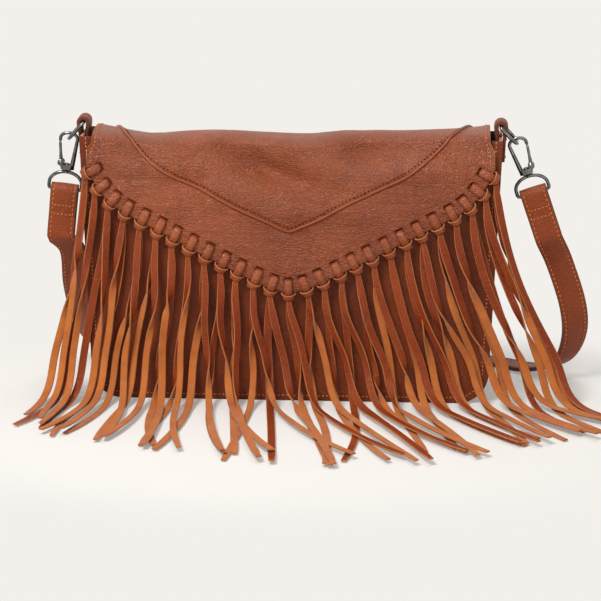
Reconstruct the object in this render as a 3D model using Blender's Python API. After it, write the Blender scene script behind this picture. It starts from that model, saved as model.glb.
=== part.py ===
"""A fringed crossbody bag: a gusseted body, a laced flap with fringe, clip-on strap.

Metres, +Z up, the front faces -Y. The origin is the middle of the flat base.
"""
import math

import bmesh
import bpy
from mathutils import Vector

# Body
BODY_HEIGHT = 0.184
TOP_HALF_WIDTH = 0.146
BASE_HALF_WIDTH = 0.139
BASE_DEPTH = 0.060
TOP_DEPTH = 0.034
CORNER_RADIUS = 0.022
PANEL_BULGE = 0.006
LEATHER = 0.002
CLEARANCE = 0.0003

# Flap
FLAP_SIDE_INSET = 0.005
FLAP_THICKNESS = 0.0022
FLAP_APEX_HEIGHT = 0.080
FLAP_SLOPE = 0.52
FLAP_APEX_ROUND = 0.012
FLAP_CORNER_RUN = 0.031
FLAP_CORNER_RISE = 0.018
FLAP_CROWN = 0.011
FLAP_SAG = 0.005
FLAP_BACK_OVERLAP = 0.022
FLAP_TOP_STANDOFF = 0.0006
FLAP_EDGE_STANDOFF = 0.0036

# Lacing and fringe
HITCH_COUNT = 27
HITCH_END_MARGIN = 0.006
HOLE_INSET = 0.0078
LACE_WIDTH = 0.0060
LACE_THICKNESS = 0.0014
HOLE_MARGIN = 0.0004
COLLAR_HALF_WIDTH = 0.0042
COLLAR_HALF_DEPTH = 0.0029
COLLAR_LENGTH = 0.0048
COLLAR_DROP = 0.0009
LOOP_DROP = 0.0013
STRAND_WIDTH = 0.0050
STRAND_LENGTH = 0.208
STRAND_BEND = 0.026
STRAND_SPLIT = 0.0009
STRAND_LIFT = 0.0026
FLOOR_GAP = 0.0004
SWAY_LEFT = -0.016
SWAY_RIGHT = 0.040
SWAY_SPLIT = 0.004
END_SPREAD = 0.007
HEADING_LEFT = -16.0
HEADING_RIGHT = 42.0
HEADING_SPLIT = 6.0
BACK_LAYER_OFFSET = 0.0028
FRONT_LAYER_OFFSET = 0.0068

# Magnetic snap
SNAP_RADIUS = 0.007
SNAP_THICKNESS = 0.0010
SNAP_HEIGHT = 0.104

# Strap
STRAP_WIDTH = 0.019
STRAP_THICKNESS = 0.0032
STRAP_FOLD = 0.034
STRAP_MEET = 0.016
STRAP_SIDE_ROOM = 0.060
STRAP_BACK_ROOM = 0.072
STRAP_RISE = 0.100

# Tabs, rings and clasps
TAB_WIDTH = 0.014
TAB_LEG = 0.017
TAB_THICKNESS = 0.002
RING_WIRE = 0.00125
RING_GAP = 0.0005
RING_DROP = 0.0165
RING_CORNER = 0.0014
HOOK_WIRE = 0.0012
HOOK_HALF_WIDTH = 0.0060
HOOK_STRAIGHT = 0.0205
HOOK_CROWN = 0.0042
HOOK_FOOT = 0.0036
HOOK_NOSE = 0.0023
BLOCK_HEIGHT = 0.0036
BLOCK_HALF_WIDTH = 0.0058
BLOCK_HALF_DEPTH = 0.0034
LUG_HALF_HEIGHT = 0.0020
LUG_HALF_WIDTH = 0.0014
LUG_RISE = 0.0030
POST_RADIUS = 0.0012
POST_HEAD_RADIUS = 0.0020
POST_HEAD_HEIGHT = 0.0012
PIN_RADIUS = 0.0007
PIN_OFFSET = 0.0042
PIN_RISE = 0.0034
PIN_ROOM = 0.0001
GATE_SLOT_HEIGHT = 0.0064
GATE_SLOT_WIDTH = 0.0056
GATE_HEEL = 0.0012
GATE_HALF_WIDTH = 0.0011
GATE_HALF_DEPTH = 0.0012
STRAP_RING_DROP = 0.0125
RING_HEIGHT = 0.006

# Each side: the sign of X, the ring's and the clasp's lean from the body's side in degrees, the eye's slack
SIDES = {"right": (1, 46.5, 21.5, 0.0009), "left": (-1, 44.5, 8.5, 0.0013)}

FLAP_HALF_WIDTH = TOP_HALF_WIDTH - FLAP_SIDE_INSET


def clear_scene():
    for obj in list(bpy.data.objects):
        bpy.data.objects.remove(obj)


def make_material(name, color, roughness, metallic=0.0):
    material = bpy.data.materials.new(name)
    material.use_nodes = True
    shader = material.node_tree.nodes["Principled BSDF"]
    shader.inputs["Base Color"].default_value = (*color, 1.0)
    shader.inputs["Roughness"].default_value = roughness
    shader.inputs["Metallic"].default_value = metallic
    return material


def mesh_object(name, verts, faces, material):
    mesh = bpy.data.meshes.new(name)
    mesh.from_pydata(verts, [], faces)
    shape = bmesh.new()
    shape.from_mesh(mesh)
    bmesh.ops.recalc_face_normals(shape, faces=shape.faces)
    shape.to_mesh(mesh)
    shape.free()
    mesh.materials.append(material)
    mesh.shade_smooth()
    mesh.set_sharp_from_angle(angle=math.radians(35))
    obj = bpy.data.objects.new(name, mesh)
    bpy.context.collection.objects.link(obj)
    return obj


def combine(target, operand, operation):
    """Unites the operand with the target, or cuts it out, and removes the operand."""
    modifier = target.modifiers.new(operation.lower(), "BOOLEAN")
    modifier.operation = operation
    modifier.solver = "EXACT"
    modifier.object = operand
    evaluated = target.evaluated_get(bpy.context.evaluated_depsgraph_get())
    mesh = bpy.data.meshes.new_from_object(evaluated)
    target.modifiers.clear()
    target.data = mesh
    bpy.data.objects.remove(operand)
    return target


def lerp(a, b, t):
    return a + (b - a) * t


def smooth(t):
    t = min(1.0, max(0.0, t))
    return t * t * (3 - 2 * t)


def loft(sections, closed=False):
    """Joins equal sections in order; an open run gets an end cap at each end."""
    count = len(sections[0])
    verts = [point for section in sections for point in section]
    faces = []
    for row in range(len(sections) if closed else len(sections) - 1):
        here = row * count
        there = (row + 1) % len(sections) * count
        for k in range(count):
            after = (k + 1) % count
            faces.append((here + k, here + after, there + after, there + k))
    if not closed:
        faces.append(tuple(range(count)))
        faces.append(tuple(range(len(verts) - count, len(verts))))
    return verts, faces


def frames(points, hints, closed=False):
    """The across and normal directions at each point of a path; a hint is roughly the across."""
    result = []
    for k, point in enumerate(points):
        before = points[k - 1] if closed or k else point
        after = points[(k + 1) % len(points)] if closed or k + 1 < len(points) else point
        tangent = (after - before).normalized()
        across = (hints[k] - tangent * hints[k].dot(tangent)).normalized()
        result.append((across, tangent.cross(across)))
    return result


def ribbon(points, hints, width, thickness, closed=False):
    sections = []
    for point, (across, normal) in zip(points, frames(points, hints, closed)):
        side = across * width / 2
        face = normal * thickness / 2
        corners = (-side - face, side - face, side + face, face - side)
        sections.append([point + corner for corner in corners])
    return loft(sections, closed)


def tube(points, hints, radius, sides=8, closed=False):
    sections = []
    for point, (across, normal) in zip(points, frames(points, hints, closed)):
        turns = [2 * math.pi * (k + 0.5) / sides for k in range(sides)]
        sections.append([point + (across * math.cos(a) + normal * math.sin(a)) * radius for a in turns])
    return loft(sections, closed)


def prism(center, axis, across, half_length, half_a, half_b, sides=10):
    """A straight piece with an elliptical section, or a box with 4 sides."""
    side = axis.cross(across)
    scale = math.sqrt(2) if sides == 4 else 1.0
    sections = []
    for end in (-half_length, half_length):
        turns = [2 * math.pi * (k + 0.5) / sides for k in range(sides)]
        spokes = [(across * math.cos(a) * half_a + side * math.sin(a) * half_b) * scale for a in turns]
        sections.append([center + axis * end + spoke for spoke in spokes])
    return loft(sections)


def sheet(inner, outer):
    """A closed thin solid between two grids of points with the same rows and columns."""
    rows, cols = len(inner), len(inner[0])
    verts = [p for row in inner for p in row] + [p for row in outer for p in row]
    shift = rows * cols
    faces = []
    for r in range(rows - 1):
        for c in range(cols - 1):
            a, b = r * cols + c, (r + 1) * cols + c
            faces.append((a, a + 1, b + 1, b))
            faces.append((a + shift, b + shift, b + 1 + shift, a + 1 + shift))
    rim = list(range(cols - 1)) + [r * cols + cols - 1 for r in range(rows - 1)]
    rim += [(rows - 1) * cols + c for c in range(cols - 1, 0, -1)]
    rim += [r * cols for r in range(rows - 1, 0, -1)]
    for k, a in enumerate(rim):
        b = rim[(k + 1) % len(rim)]
        faces.append((a, b, b + shift, a + shift))
    return verts, faces


def offset_grid(grid, distance):
    """The grid moved along its own normals."""
    rows, cols = len(grid), len(grid[0])
    moved = []
    for r in range(rows):
        line = []
        for c in range(cols):
            along = grid[min(r + 1, rows - 1)][c] - grid[max(r - 1, 0)][c]
            across = grid[r][min(c + 1, cols - 1)] - grid[r][max(c - 1, 0)]
            line.append(grid[r][c] + along.cross(across).normalized() * distance)
        moved.append(line)
    return moved


def depth_at(z):
    return lerp(BASE_DEPTH, TOP_DEPTH, z / BODY_HEIGHT)


def half_width_at(z):
    """Half the body's width at a height, with the rounded bottom corners."""
    if z >= CORNER_RADIUS:
        return lerp(BASE_HALF_WIDTH, TOP_HALF_WIDTH, (z - CORNER_RADIUS) / (BODY_HEIGHT - CORNER_RADIUS))
    drop = CORNER_RADIUS - z
    return BASE_HALF_WIDTH - CORNER_RADIUS + math.sqrt(max(0.0, CORNER_RADIUS ** 2 - drop ** 2))


def bulge_at(x, z):
    """How far a panel swells past its seams; nothing at the seams and at the mouth."""
    across = 1 - min(1.0, abs(x) / half_width_at(max(0.0, z))) ** 4
    up = min(1.0, max(0.0, z / BODY_HEIGHT))
    return PANEL_BULGE * across * math.sqrt(4 * up * (1 - up))


def panel_face(x, z):
    """How far a panel's outer face lies from the body's middle plane."""
    return depth_at(z) / 2 + CLEARANCE + LEATHER + bulge_at(x, z)


def panel(name, way, material):
    corner = [CORNER_RADIUS * (1 - math.cos(math.radians(a))) for a in (0, 30, 60, 90)]
    heights = [z + CLEARANCE for z in corner] + [lerp(CORNER_RADIUS, BODY_HEIGHT, k / 6) for k in range(1, 7)]
    columns = [-1, -0.94, -0.82, -0.62, -0.38, -0.13, 0.13, 0.38, 0.62, 0.82, 0.94, 1]
    inner, outer = [], []
    for z in heights:
        xs = [u * half_width_at(z) for u in columns]
        outer.append([Vector((x, way * panel_face(x, z), z)) for x in xs])
        inner.append([Vector((x, way * (panel_face(x, z) - LEATHER), z)) for x in xs])
    return mesh_object(name, *sheet(inner, outer), material)


def gusset(material):
    """One U-shaped strip: a side, the flat base and the other side."""
    side = [(TOP_HALF_WIDTH, BODY_HEIGHT, 1, 0), (BASE_HALF_WIDTH, CORNER_RADIUS, 1, 0)]
    turns = [math.radians(a) for a in (22.5, 45, 67.5, 90)]
    corner = [(BASE_HALF_WIDTH - CORNER_RADIUS * (1 - math.cos(a)), CORNER_RADIUS * (1 - math.sin(a)),
               math.cos(a), math.sin(a)) for a in turns]
    half = side + corner
    path = half + [(-x, z, -out, down) for x, z, out, down in reversed(half)]
    sections = []
    for x, z, out, down in path:
        reach = depth_at(z) / 2
        inner_x, inner_z = x - LEATHER * out, z + LEATHER * down
        sections.append([Vector((x, -reach, z)), Vector((x, reach, z)),
                         Vector((inner_x, reach, inner_z)), Vector((inner_x, -reach, inner_z))])
    return mesh_object("gusset", *loft(sections), material)


def flap_edge_height(x):
    """The flap's lower edge: a rounded V that turns up at its two corners."""
    rise = FLAP_SLOPE * (math.hypot(x, FLAP_APEX_ROUND) - FLAP_APEX_ROUND)
    past = max(0.0, abs(x) - (FLAP_HALF_WIDTH - FLAP_CORNER_RUN)) / FLAP_CORNER_RUN
    return FLAP_APEX_HEIGHT + rise + FLAP_CORNER_RISE * past ** 3


def flap_front(x, z):
    """The Y of the flap's inner face on the front of the body."""
    drop = (BODY_HEIGHT - z) / (BODY_HEIGHT - flap_edge_height(x))
    standoff = lerp(FLAP_TOP_STANDOFF, FLAP_EDGE_STANDOFF, smooth(drop))
    return -(panel_face(x, z) + standoff)


def flap_column(x):
    """One line down the flap's inner face, from its seam on the back to its lower edge."""
    back = [Vector((x, panel_face(x, z) + FLAP_TOP_STANDOFF, z))
            for z in (BODY_HEIGHT - FLAP_BACK_OVERLAP, BODY_HEIGHT - FLAP_BACK_OVERLAP / 2, BODY_HEIGHT)]
    reach = panel_face(x, BODY_HEIGHT) + FLAP_TOP_STANDOFF
    inward = 1 - (abs(x) / FLAP_HALF_WIDTH) ** 6
    crown = FLAP_CROWN - FLAP_SAG * inward
    top = [Vector((x, reach * math.cos(a), BODY_HEIGHT + crown * math.sin(a)))
           for a in [math.radians(d) for d in (30, 65, 90, 115, 150)]]
    edge = flap_edge_height(x)
    heights = [lerp(BODY_HEIGHT, edge, t) for t in (0, 0.2, 0.4, 0.6, 0.8, 1)]
    return back + top + [Vector((x, flap_front(x, z), z)) for z in heights]


def flap(material):
    near = [0, 0.07, 0.16, 0.28, 0.42, 0.56, 0.70, 0.80, 0.88, 0.93, 0.97, 1]
    columns = [-u for u in reversed(near[1:])] + near
    lines = [flap_column(u * FLAP_HALF_WIDTH) for u in columns]
    inner = [list(row) for row in zip(*lines)]
    return mesh_object("flap", *sheet(inner, offset_grid(inner, FLAP_THICKNESS)), material)


def edge_frame(x):
    """A point in the middle of the flap's edge, with the directions along it, outward and forward."""
    step = 0.0005
    before, edge, after = (Vector((a, flap_front(a, flap_edge_height(a)), flap_edge_height(a)))
                           for a in (x - step, x, x + step))
    along = (after - before).normalized()
    flat = math.hypot(along.x, along.z)
    hole_x, hole_z = x - HOLE_INSET * along.z / flat, edge.z + HOLE_INSET * along.x / flat
    hole = Vector((hole_x, flap_front(hole_x, hole_z), hole_z))
    outward = (edge - hole).normalized()
    outward = (outward - along * outward.dot(along)).normalized()
    forward = outward.cross(along).normalized()
    forward *= -1 if forward.y > 0 else 1
    return edge + forward * FLAP_THICKNESS / 2, along, outward, forward


def hitch_places():
    """The X of each hitch, evenly spaced along the flap's edge."""
    steps = 600
    xs = [lerp(-FLAP_HALF_WIDTH, FLAP_HALF_WIDTH, k / steps) for k in range(steps + 1)]
    travelled = [0.0]
    for a, b in zip(xs, xs[1:]):
        rise = flap_edge_height(b) - flap_edge_height(a)
        travelled.append(travelled[-1] + math.hypot(b - a, rise))
    places = []
    for k in range(HITCH_COUNT):
        goal = lerp(HITCH_END_MARGIN, travelled[-1] - HITCH_END_MARGIN, k / (HITCH_COUNT - 1))
        nearest = min(range(len(xs)), key=lambda n: abs(travelled[n] - goal))
        places.append(xs[nearest])
    return places


def lace_hole(x, material):
    """The cutter of one slot, turned to the edge."""
    point, along, outward, forward = edge_frame(x)
    center = point - outward * HOLE_INSET
    across = LACE_WIDTH / 2 + HOLE_MARGIN
    opening = LACE_THICKNESS / 2 + HOLE_MARGIN
    cutter = prism(center, forward, along, 3 * FLAP_THICKNESS, across, opening, 4)
    return mesh_object("lace_hole", *cutter, material)


def strand_route(start, offset, floor_height, sway, heading, length):
    """A strand's middle line: down the body's front, round a bend and out along the floor."""
    drop = start.z - floor_height - STRAND_BEND
    points = [start]
    for share in (1 / 3, 2 / 3, 1):
        x = start.x + sway * share ** 1.5
        z = start.z - drop * share
        points.append(Vector((x, -(panel_face(x, z) + offset), z)))
    foot = points[-1]
    away = Vector((math.sin(heading), -math.cos(heading), 0))
    for degrees in (30, 60, 90):
        turn = math.radians(degrees)
        fall = Vector((0, 0, -STRAND_BEND * math.sin(turn)))
        points.append(foot + fall + away * STRAND_BEND * (1 - math.cos(turn)))
    run = length - drop - STRAND_BEND * math.pi / 2
    return points + [points[-1] + away * run * share for share in (0.5, 1.0)]


def strand(center, forward, spread, layer, material):
    """One of a strip's two strands, layer 0 against the body and layer 1 in front of it."""
    side = 2 * layer - 1
    offset = (BACK_LAYER_OFFSET, FRONT_LAYER_OFFSET)[layer]
    flow = (1 + spread) / 2
    sway = lerp(SWAY_LEFT, SWAY_RIGHT, flow ** 1.3) + END_SPREAD * spread ** 7 + side * SWAY_SPLIT
    heading = math.radians(lerp(HEADING_LEFT, HEADING_RIGHT, flow) + side * HEADING_SPLIT)
    floor_height = FLOOR_GAP + LACE_THICKNESS / 2 + STRAND_LIFT * layer
    start = center + forward * STRAND_SPLIT * side
    route = strand_route(start, offset, floor_height, sway, heading, STRAND_LENGTH)
    hints = [Vector((1, 0, 0))] * 4
    hints += [Vector((math.cos(heading), math.sin(heading), 0))] * (len(route) - 4)
    return mesh_object("strand", *ribbon(route, hints, STRAND_WIDTH, LACE_THICKNESS), material)


def hitch(number, x, material):
    """One laced strip: the loop through its hole, the collar and the two strands that hang from it."""
    point, along, outward, forward = edge_frame(x)
    reach = FLAP_THICKNESS / 2 + CLEARANCE + LACE_THICKNESS / 2
    low, high, cut = LOOP_DROP, -HOLE_INSET, COLLAR_DROP
    ring = [(low - cut, reach), (low, reach - cut), (low, cut - reach), (low - cut, -reach),
            (high + cut, -reach), (high, cut - reach), (high, reach - cut), (high + cut, reach)]
    points = [point + outward * a + forward * b for a, b in ring]
    loop = ribbon(points, [along] * len(points), LACE_WIDTH, LACE_THICKNESS, True)
    body = mesh_object(f"fringe_{number:02d}", *loop, material)
    center = point + outward * (COLLAR_DROP + COLLAR_LENGTH / 2)
    collar = prism(center, outward, along, COLLAR_LENGTH / 2, COLLAR_HALF_WIDTH, COLLAR_HALF_DEPTH, 8)
    combine(body, mesh_object("collar", *collar, material), "UNION")
    for layer in (0, 1):
        combine(body, strand(center, forward, x / FLAP_HALF_WIDTH, layer, material), "UNION")
    return body


def snap_half(name, face, way, material):
    """A round half of the magnetic snap, flat on the face that carries it."""
    low, high = (Vector((0, face(0, SNAP_HEIGHT + step), SNAP_HEIGHT + step)) for step in (-0.001, 0.001))
    normal = (high - low).normalized().cross(Vector((1, 0, 0))) * way
    normal *= 1 if normal.y * way < 0 else -1
    center = (low + high) / 2 + normal * (SNAP_THICKNESS / 2 + CLEARANCE)
    disc = prism(center, normal, Vector((1, 0, 0)), SNAP_THICKNESS / 2, SNAP_RADIUS, SNAP_RADIUS, 16)
    return mesh_object(name, *disc, material)


def ring_axis(sign):
    """The middle of the ring's straight bar, over the gusset's top edge."""
    x = sign * (TOP_HALF_WIDTH - LEATHER / 2)
    return Vector((x, 0, BODY_HEIGHT + RING_HEIGHT + RING_WIRE))


def tab(name, sign, material):
    """A leather strip folded over the ring's bar, with one leg on each face of the gusset."""
    top = ring_axis(sign)
    leg = LEATHER / 2 + CLEARANCE * 1.5 + TAB_THICKNESS / 2
    arch = RING_WIRE + RING_GAP + TAB_THICKNESS / 2
    low = BODY_HEIGHT - TAB_LEG
    taper = TOP_HALF_WIDTH - half_width_at(low)
    profile = [(-leg - taper, low), (-leg, BODY_HEIGHT), (-arch, top.z - 0.001)]
    profile += [(arch * -math.cos(math.radians(a)), top.z + arch * math.sin(math.radians(a)))
                for a in (25, 55, 90, 125, 155)]
    profile += [(arch, top.z - 0.001), (leg, BODY_HEIGHT), (leg - taper, low)]
    points = [Vector((top.x + sign * a, 0, z)) for a, z in profile]
    strip = ribbon(points, [Vector((0, 1, 0))] * len(points), TAB_WIDTH, TAB_THICKNESS)
    return mesh_object(name, *strip, material)


def d_outline(half_width, drop):
    """A D in its own plane: a straight bar at the top, two sides and a round end."""
    points = [(-half_width + RING_CORNER, 0), (half_width - RING_CORNER, 0), (half_width, RING_CORNER)]
    round_top = drop - half_width * 0.72
    points += [(half_width * math.cos(a), round_top + half_width * 0.72 * math.sin(a))
               for a in [math.radians(d) for d in (0, 30, 60, 90, 120, 150, 180)]]
    return points + [(-half_width, RING_CORNER)]


def lean_directions(sign, degrees):
    """Down and outward, and the direction at right angles to it, for a lean from the body's side."""
    side_slope = math.atan2(TOP_HALF_WIDTH - BASE_HALF_WIDTH, BODY_HEIGHT - CORNER_RADIUS)
    lean = math.radians(degrees) - side_slope
    down = Vector((sign * math.sin(lean), 0, -math.cos(lean)))
    out = Vector((sign * math.cos(lean), 0, math.sin(lean)))
    return down, out


def bag_ring(name, sign, lean, material):
    """The D-ring in the tab, its flat lying along Y and its round end hanging outward."""
    down, out = lean_directions(sign, lean)
    top = ring_axis(sign)
    outline = d_outline(TAB_WIDTH / 2 + RING_CORNER + RING_WIRE + CLEARANCE, RING_DROP)
    points = [top + Vector((0, 1, 0)) * a + down * b for a, b in outline]
    return mesh_object(name, *tube(points, [out] * len(points), RING_WIRE, 8, True), material)


def clasp_frame(side):
    """The clasp's base point, with its up and outward directions."""
    sign, ring_lean, clasp_lean, slack = SIDES[side]
    ring_down, _ = lean_directions(sign, ring_lean)
    down, out = lean_directions(sign, clasp_lean)
    eye = ring_axis(sign) + ring_down * RING_DROP
    eye_height = HOOK_STRAIGHT + HOOK_CROWN - HOOK_WIRE - RING_WIRE - slack
    return eye + down * eye_height, -down, out


def pin_center(side):
    base, up, out = clasp_frame(side)
    return base + out * PIN_OFFSET + up * PIN_RISE


def pin_hole(side, half_length, material):
    """The cutter of the pin's bore."""
    _, up, _ = clasp_frame(side)
    radius = PIN_RADIUS + PIN_ROOM
    bore = prism(pin_center(side), Vector((0, 1, 0)), up, half_length, radius, radius, 10)
    return mesh_object("pin_hole", *bore, material)


def hook(side, material):
    """The clasp's hook: a bent wire from a bored base block, open beside the gate."""
    base, up, out = clasp_frame(side)
    outline = [(-lerp(HOOK_FOOT, HOOK_HALF_WIDTH, share), HOOK_STRAIGHT * share) for share in (0, 0.35, 0.7)]
    outline += [(-HOOK_HALF_WIDTH * math.cos(a), HOOK_STRAIGHT + HOOK_CROWN * math.sin(a))
                for a in [math.radians(d) for d in (0, 30, 60, 90, 120, 150, 180)]]
    outline.append((HOOK_HALF_WIDTH, HOOK_STRAIGHT - HOOK_NOSE))
    points = [base + out * a + up * b for a, b in outline]
    y_axis = Vector((0, 1, 0))
    body = mesh_object(f"hook_{side}", *tube(points, [y_axis] * len(points), HOOK_WIRE), material)
    block = prism(base, up, out, BLOCK_HEIGHT / 2, BLOCK_HALF_WIDTH, BLOCK_HALF_DEPTH, 4)
    combine(body, mesh_object("block", *block, material), "UNION")
    lug_center = base + out * PIN_OFFSET + up * LUG_RISE
    lug = prism(lug_center, y_axis, up, BLOCK_HALF_DEPTH, LUG_HALF_HEIGHT, LUG_HALF_WIDTH, 4)
    combine(body, mesh_object("lug", *lug, material), "UNION")
    slot_center = pin_center(side) + (out + up) * GATE_HEEL
    room = GATE_HALF_DEPTH + CLEARANCE
    slot = prism(slot_center, y_axis, up, room, GATE_SLOT_HEIGHT / 2, GATE_SLOT_WIDTH / 2, 4)
    combine(body, mesh_object("slot", *slot, material), "DIFFERENCE")
    bore_radius = POST_RADIUS + CLEARANCE
    bore = prism(base, up, out, BLOCK_HEIGHT, bore_radius, bore_radius, 10)
    combine(body, mesh_object("bore", *bore, material), "DIFFERENCE")
    return combine(body, pin_hole(side, 2 * BLOCK_HALF_DEPTH, material), "DIFFERENCE")


def gate(side, material):
    """The sprung lever that shuts the hook, turning on its pin."""
    base, up, out = clasp_frame(side)
    y_axis = Vector((0, 1, 0))
    foot = pin_center(side)
    tip = base + out * HOOK_HALF_WIDTH + up * (HOOK_STRAIGHT - HOOK_NOSE - CLEARANCE)
    way = (tip - foot).normalized()
    start = foot - way * GATE_HEEL
    middle = (start + tip) / 2
    half_length = (tip - start).length / 2
    bar = prism(middle, way, way.cross(y_axis), half_length, GATE_HALF_WIDTH, GATE_HALF_DEPTH, 4)
    body = mesh_object(f"gate_{side}", *bar, material)
    return combine(body, pin_hole(side, 2 * GATE_HALF_DEPTH, material), "DIFFERENCE")


def gate_pin(side, material):
    _, up, _ = clasp_frame(side)
    pin = prism(pin_center(side), Vector((0, 1, 0)), up, BLOCK_HALF_DEPTH, PIN_RADIUS, PIN_RADIUS, 10)
    return mesh_object(f"gate_pin_{side}", *pin, material)


def strap_ring_frame(side):
    """The middle of the strap ring's bar, where the strap folds over it."""
    base, up, out = clasp_frame(side)
    return base - up * (BLOCK_HEIGHT / 2 + CLEARANCE + RING_WIRE + STRAP_RING_DROP), up, out


def strap_ring(side, material):
    """The swivelling D-ring: the strap's bar, and a headed post through the hook's base."""
    base, up, out = clasp_frame(side)
    bar, _, _ = strap_ring_frame(side)
    outline = d_outline(STRAP_WIDTH / 2 + RING_CORNER + RING_WIRE + CLEARANCE, STRAP_RING_DROP)
    points = [bar + out * a + up * b for a, b in outline]
    name = f"strap_ring_{side}"
    body = mesh_object(name, *tube(points, [Vector((0, 1, 0))] * len(points), RING_WIRE, 8, True), material)
    low = bar + up * (STRAP_RING_DROP + RING_WIRE * 0.3)
    high = base + up * (BLOCK_HEIGHT / 2 + CLEARANCE + POST_HEAD_HEIGHT / 2)
    across = (out + Vector((0, 0.3, 0))).normalized()
    post = prism((low + high) / 2, up, across, (high - low).length / 2, POST_RADIUS, POST_RADIUS, 9)
    combine(body, mesh_object("post", *post, material), "UNION")
    head = prism(high, up, out, POST_HEAD_HEIGHT / 2, POST_HEAD_RADIUS, POST_HEAD_RADIUS, 10)
    return combine(body, mesh_object("head", *head, material), "UNION")


def strap_end(side, facing):
    """The strap's fold over a ring's bar, from the cut end behind to the front of the fold."""
    bar, up, out = strap_ring_frame(side)
    wrap = RING_WIRE + CLEARANCE + STRAP_THICKNESS / 2
    together = STRAP_THICKNESS / 2 + CLEARANCE
    leg = [(-STRAP_FOLD, -together), (-STRAP_MEET, -together), (-STRAP_MEET / 2, -wrap * 0.85), (0.0, -wrap)]
    turns = [math.radians(a) for a in (35, 70, 110, 145)]
    local = leg + [(wrap * math.sin(a), -wrap * math.cos(a)) for a in turns]
    local += [(a, -b) for a, b in reversed(leg)]
    points = [bar + up * a + facing * b for a, b in local]
    return points, [out] * len(points)


def catmull(points, per_span):
    """A smooth curve through the points."""
    ends = [points[0] * 2 - points[1]] + points + [points[-1] * 2 - points[-2]]
    curve = []
    for a, b, c, d in zip(ends, ends[1:], ends[2:], ends[3:]):
        for k in range(per_span):
            t = k / per_span
            curve.append((b * 2 + (c - a) * t + (a * 2 - b * 5 + c * 4 - d) * t ** 2
                          + (b * 3 - a - c * 3 + d) * t ** 3) / 2)
    return curve + [points[-1]]


def strap(material):
    """The shoulder strap: folded over both strap rings, it drops to the floor and lies behind the body."""
    front = Vector((0, -1, 0))
    right, right_hints = strap_end("right", front)
    left, left_hints = strap_end("left", front)
    floor = STRAP_THICKNESS / 2 + CLEARANCE
    # Right side, floor and left side: shares of the room beside and behind the body and of the rise
    places = [(1, 0.76, -0.30, 0.92), (1, 0.95, -0.24, 0.60), (1, 0.99, -0.14, 0.35), (1, 0.86, 0.0, 0.14),
              (1, 0.52, 0.24, 0.04), (1, 0.08, 0.52, 0.0), (0.56, 0, 0.88, 0.0), (0, 0, 1.0, 0.0),
              (-0.56, 0, 0.97, 0.0), (-1, -0.06, 0.80, 0.0), (-1, 0.16, 0.52, 0.12), (-1, 0.24, 0.20, 0.35),
              (-1, 0.25, -0.12, 0.66), (-1, 0.22, -0.33, 0.96)]
    lies = [(0.95, 0.05, 0.2), (0.93, 0.15, 0.2), (0.85, 0.40, 0.1), (0.70, 0.68, 0), (0.60, 0.80, 0),
            (0.50, 0.86, 0), (0.25, 0.97, 0), (0, 1, 0), (-0.25, 0.97, 0), (-0.55, 0.83, 0), (-0.75, 0.62, 0),
            (-0.88, 0.45, 0), (-0.95, 0.25, 0), (-0.99, 0.08, 0)]
    middle = [right[-1]]
    for side, beside, behind, rise in places:
        z = max(floor, rise * STRAP_RISE)
        side_x = lerp(BASE_HALF_WIDTH, TOP_HALF_WIDTH, z / BODY_HEIGHT)
        x = side * (side_x + beside * STRAP_SIDE_ROOM)
        middle.append(Vector((x, BASE_DEPTH / 2 + behind * STRAP_BACK_ROOM, z)))
    middle.append(left[-1])
    hints = [right_hints[-1]] + [Vector(lie).normalized() for lie in lies] + [left_hints[-1]]
    curve = [Vector((p.x, p.y, max(p.z, floor))) for p in catmull(middle, 4)]
    points = right[:-1] + curve + left[-2::-1]
    directions = right_hints[:-1] + catmull(hints, 4) + left_hints[-2::-1]
    return mesh_object("strap", *ribbon(points, directions, STRAP_WIDTH, STRAP_THICKNESS), material)


def build_bag():
    clear_scene()
    leather = make_material("tan_leather", (0.33, 0.11, 0.035), 0.5)
    fringe_leather = make_material("fringe_leather", (0.36, 0.13, 0.04), 0.6)
    metal = make_material("dark_metal", (0.08, 0.08, 0.08), 0.3, 1.0)
    panel("front_panel", -1, leather)
    panel("back_panel", 1, leather)
    gusset(leather)
    flap_body = flap(leather)
    for number, x in enumerate(hitch_places(), 1):
        combine(flap_body, lace_hole(x, leather), "DIFFERENCE")
        hitch(number, x, fringe_leather)
    snap_half("snap_body_half", lambda x, z: -panel_face(x, z), 1, metal)
    snap_half("snap_flap_half", flap_front, -1, metal)
    for side, (sign, ring_lean, _, _) in SIDES.items():
        tab(f"tab_{side}", sign, leather)
        bag_ring(f"bag_ring_{side}", sign, ring_lean, metal)
        hook(side, metal)
        gate(side, metal)
        gate_pin(side, metal)
        strap_ring(side, metal)
    strap(leather)


build_bag()
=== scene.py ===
"""The looks of the fringed shoulder bag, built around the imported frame.

Metres, +Z up, the front faces -Y, as in the part's own source, whose sizes and curves are repeated here.
"""
import math
import random

import bmesh
import bpy
from mathutils import Matrix, Vector, noise


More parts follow.
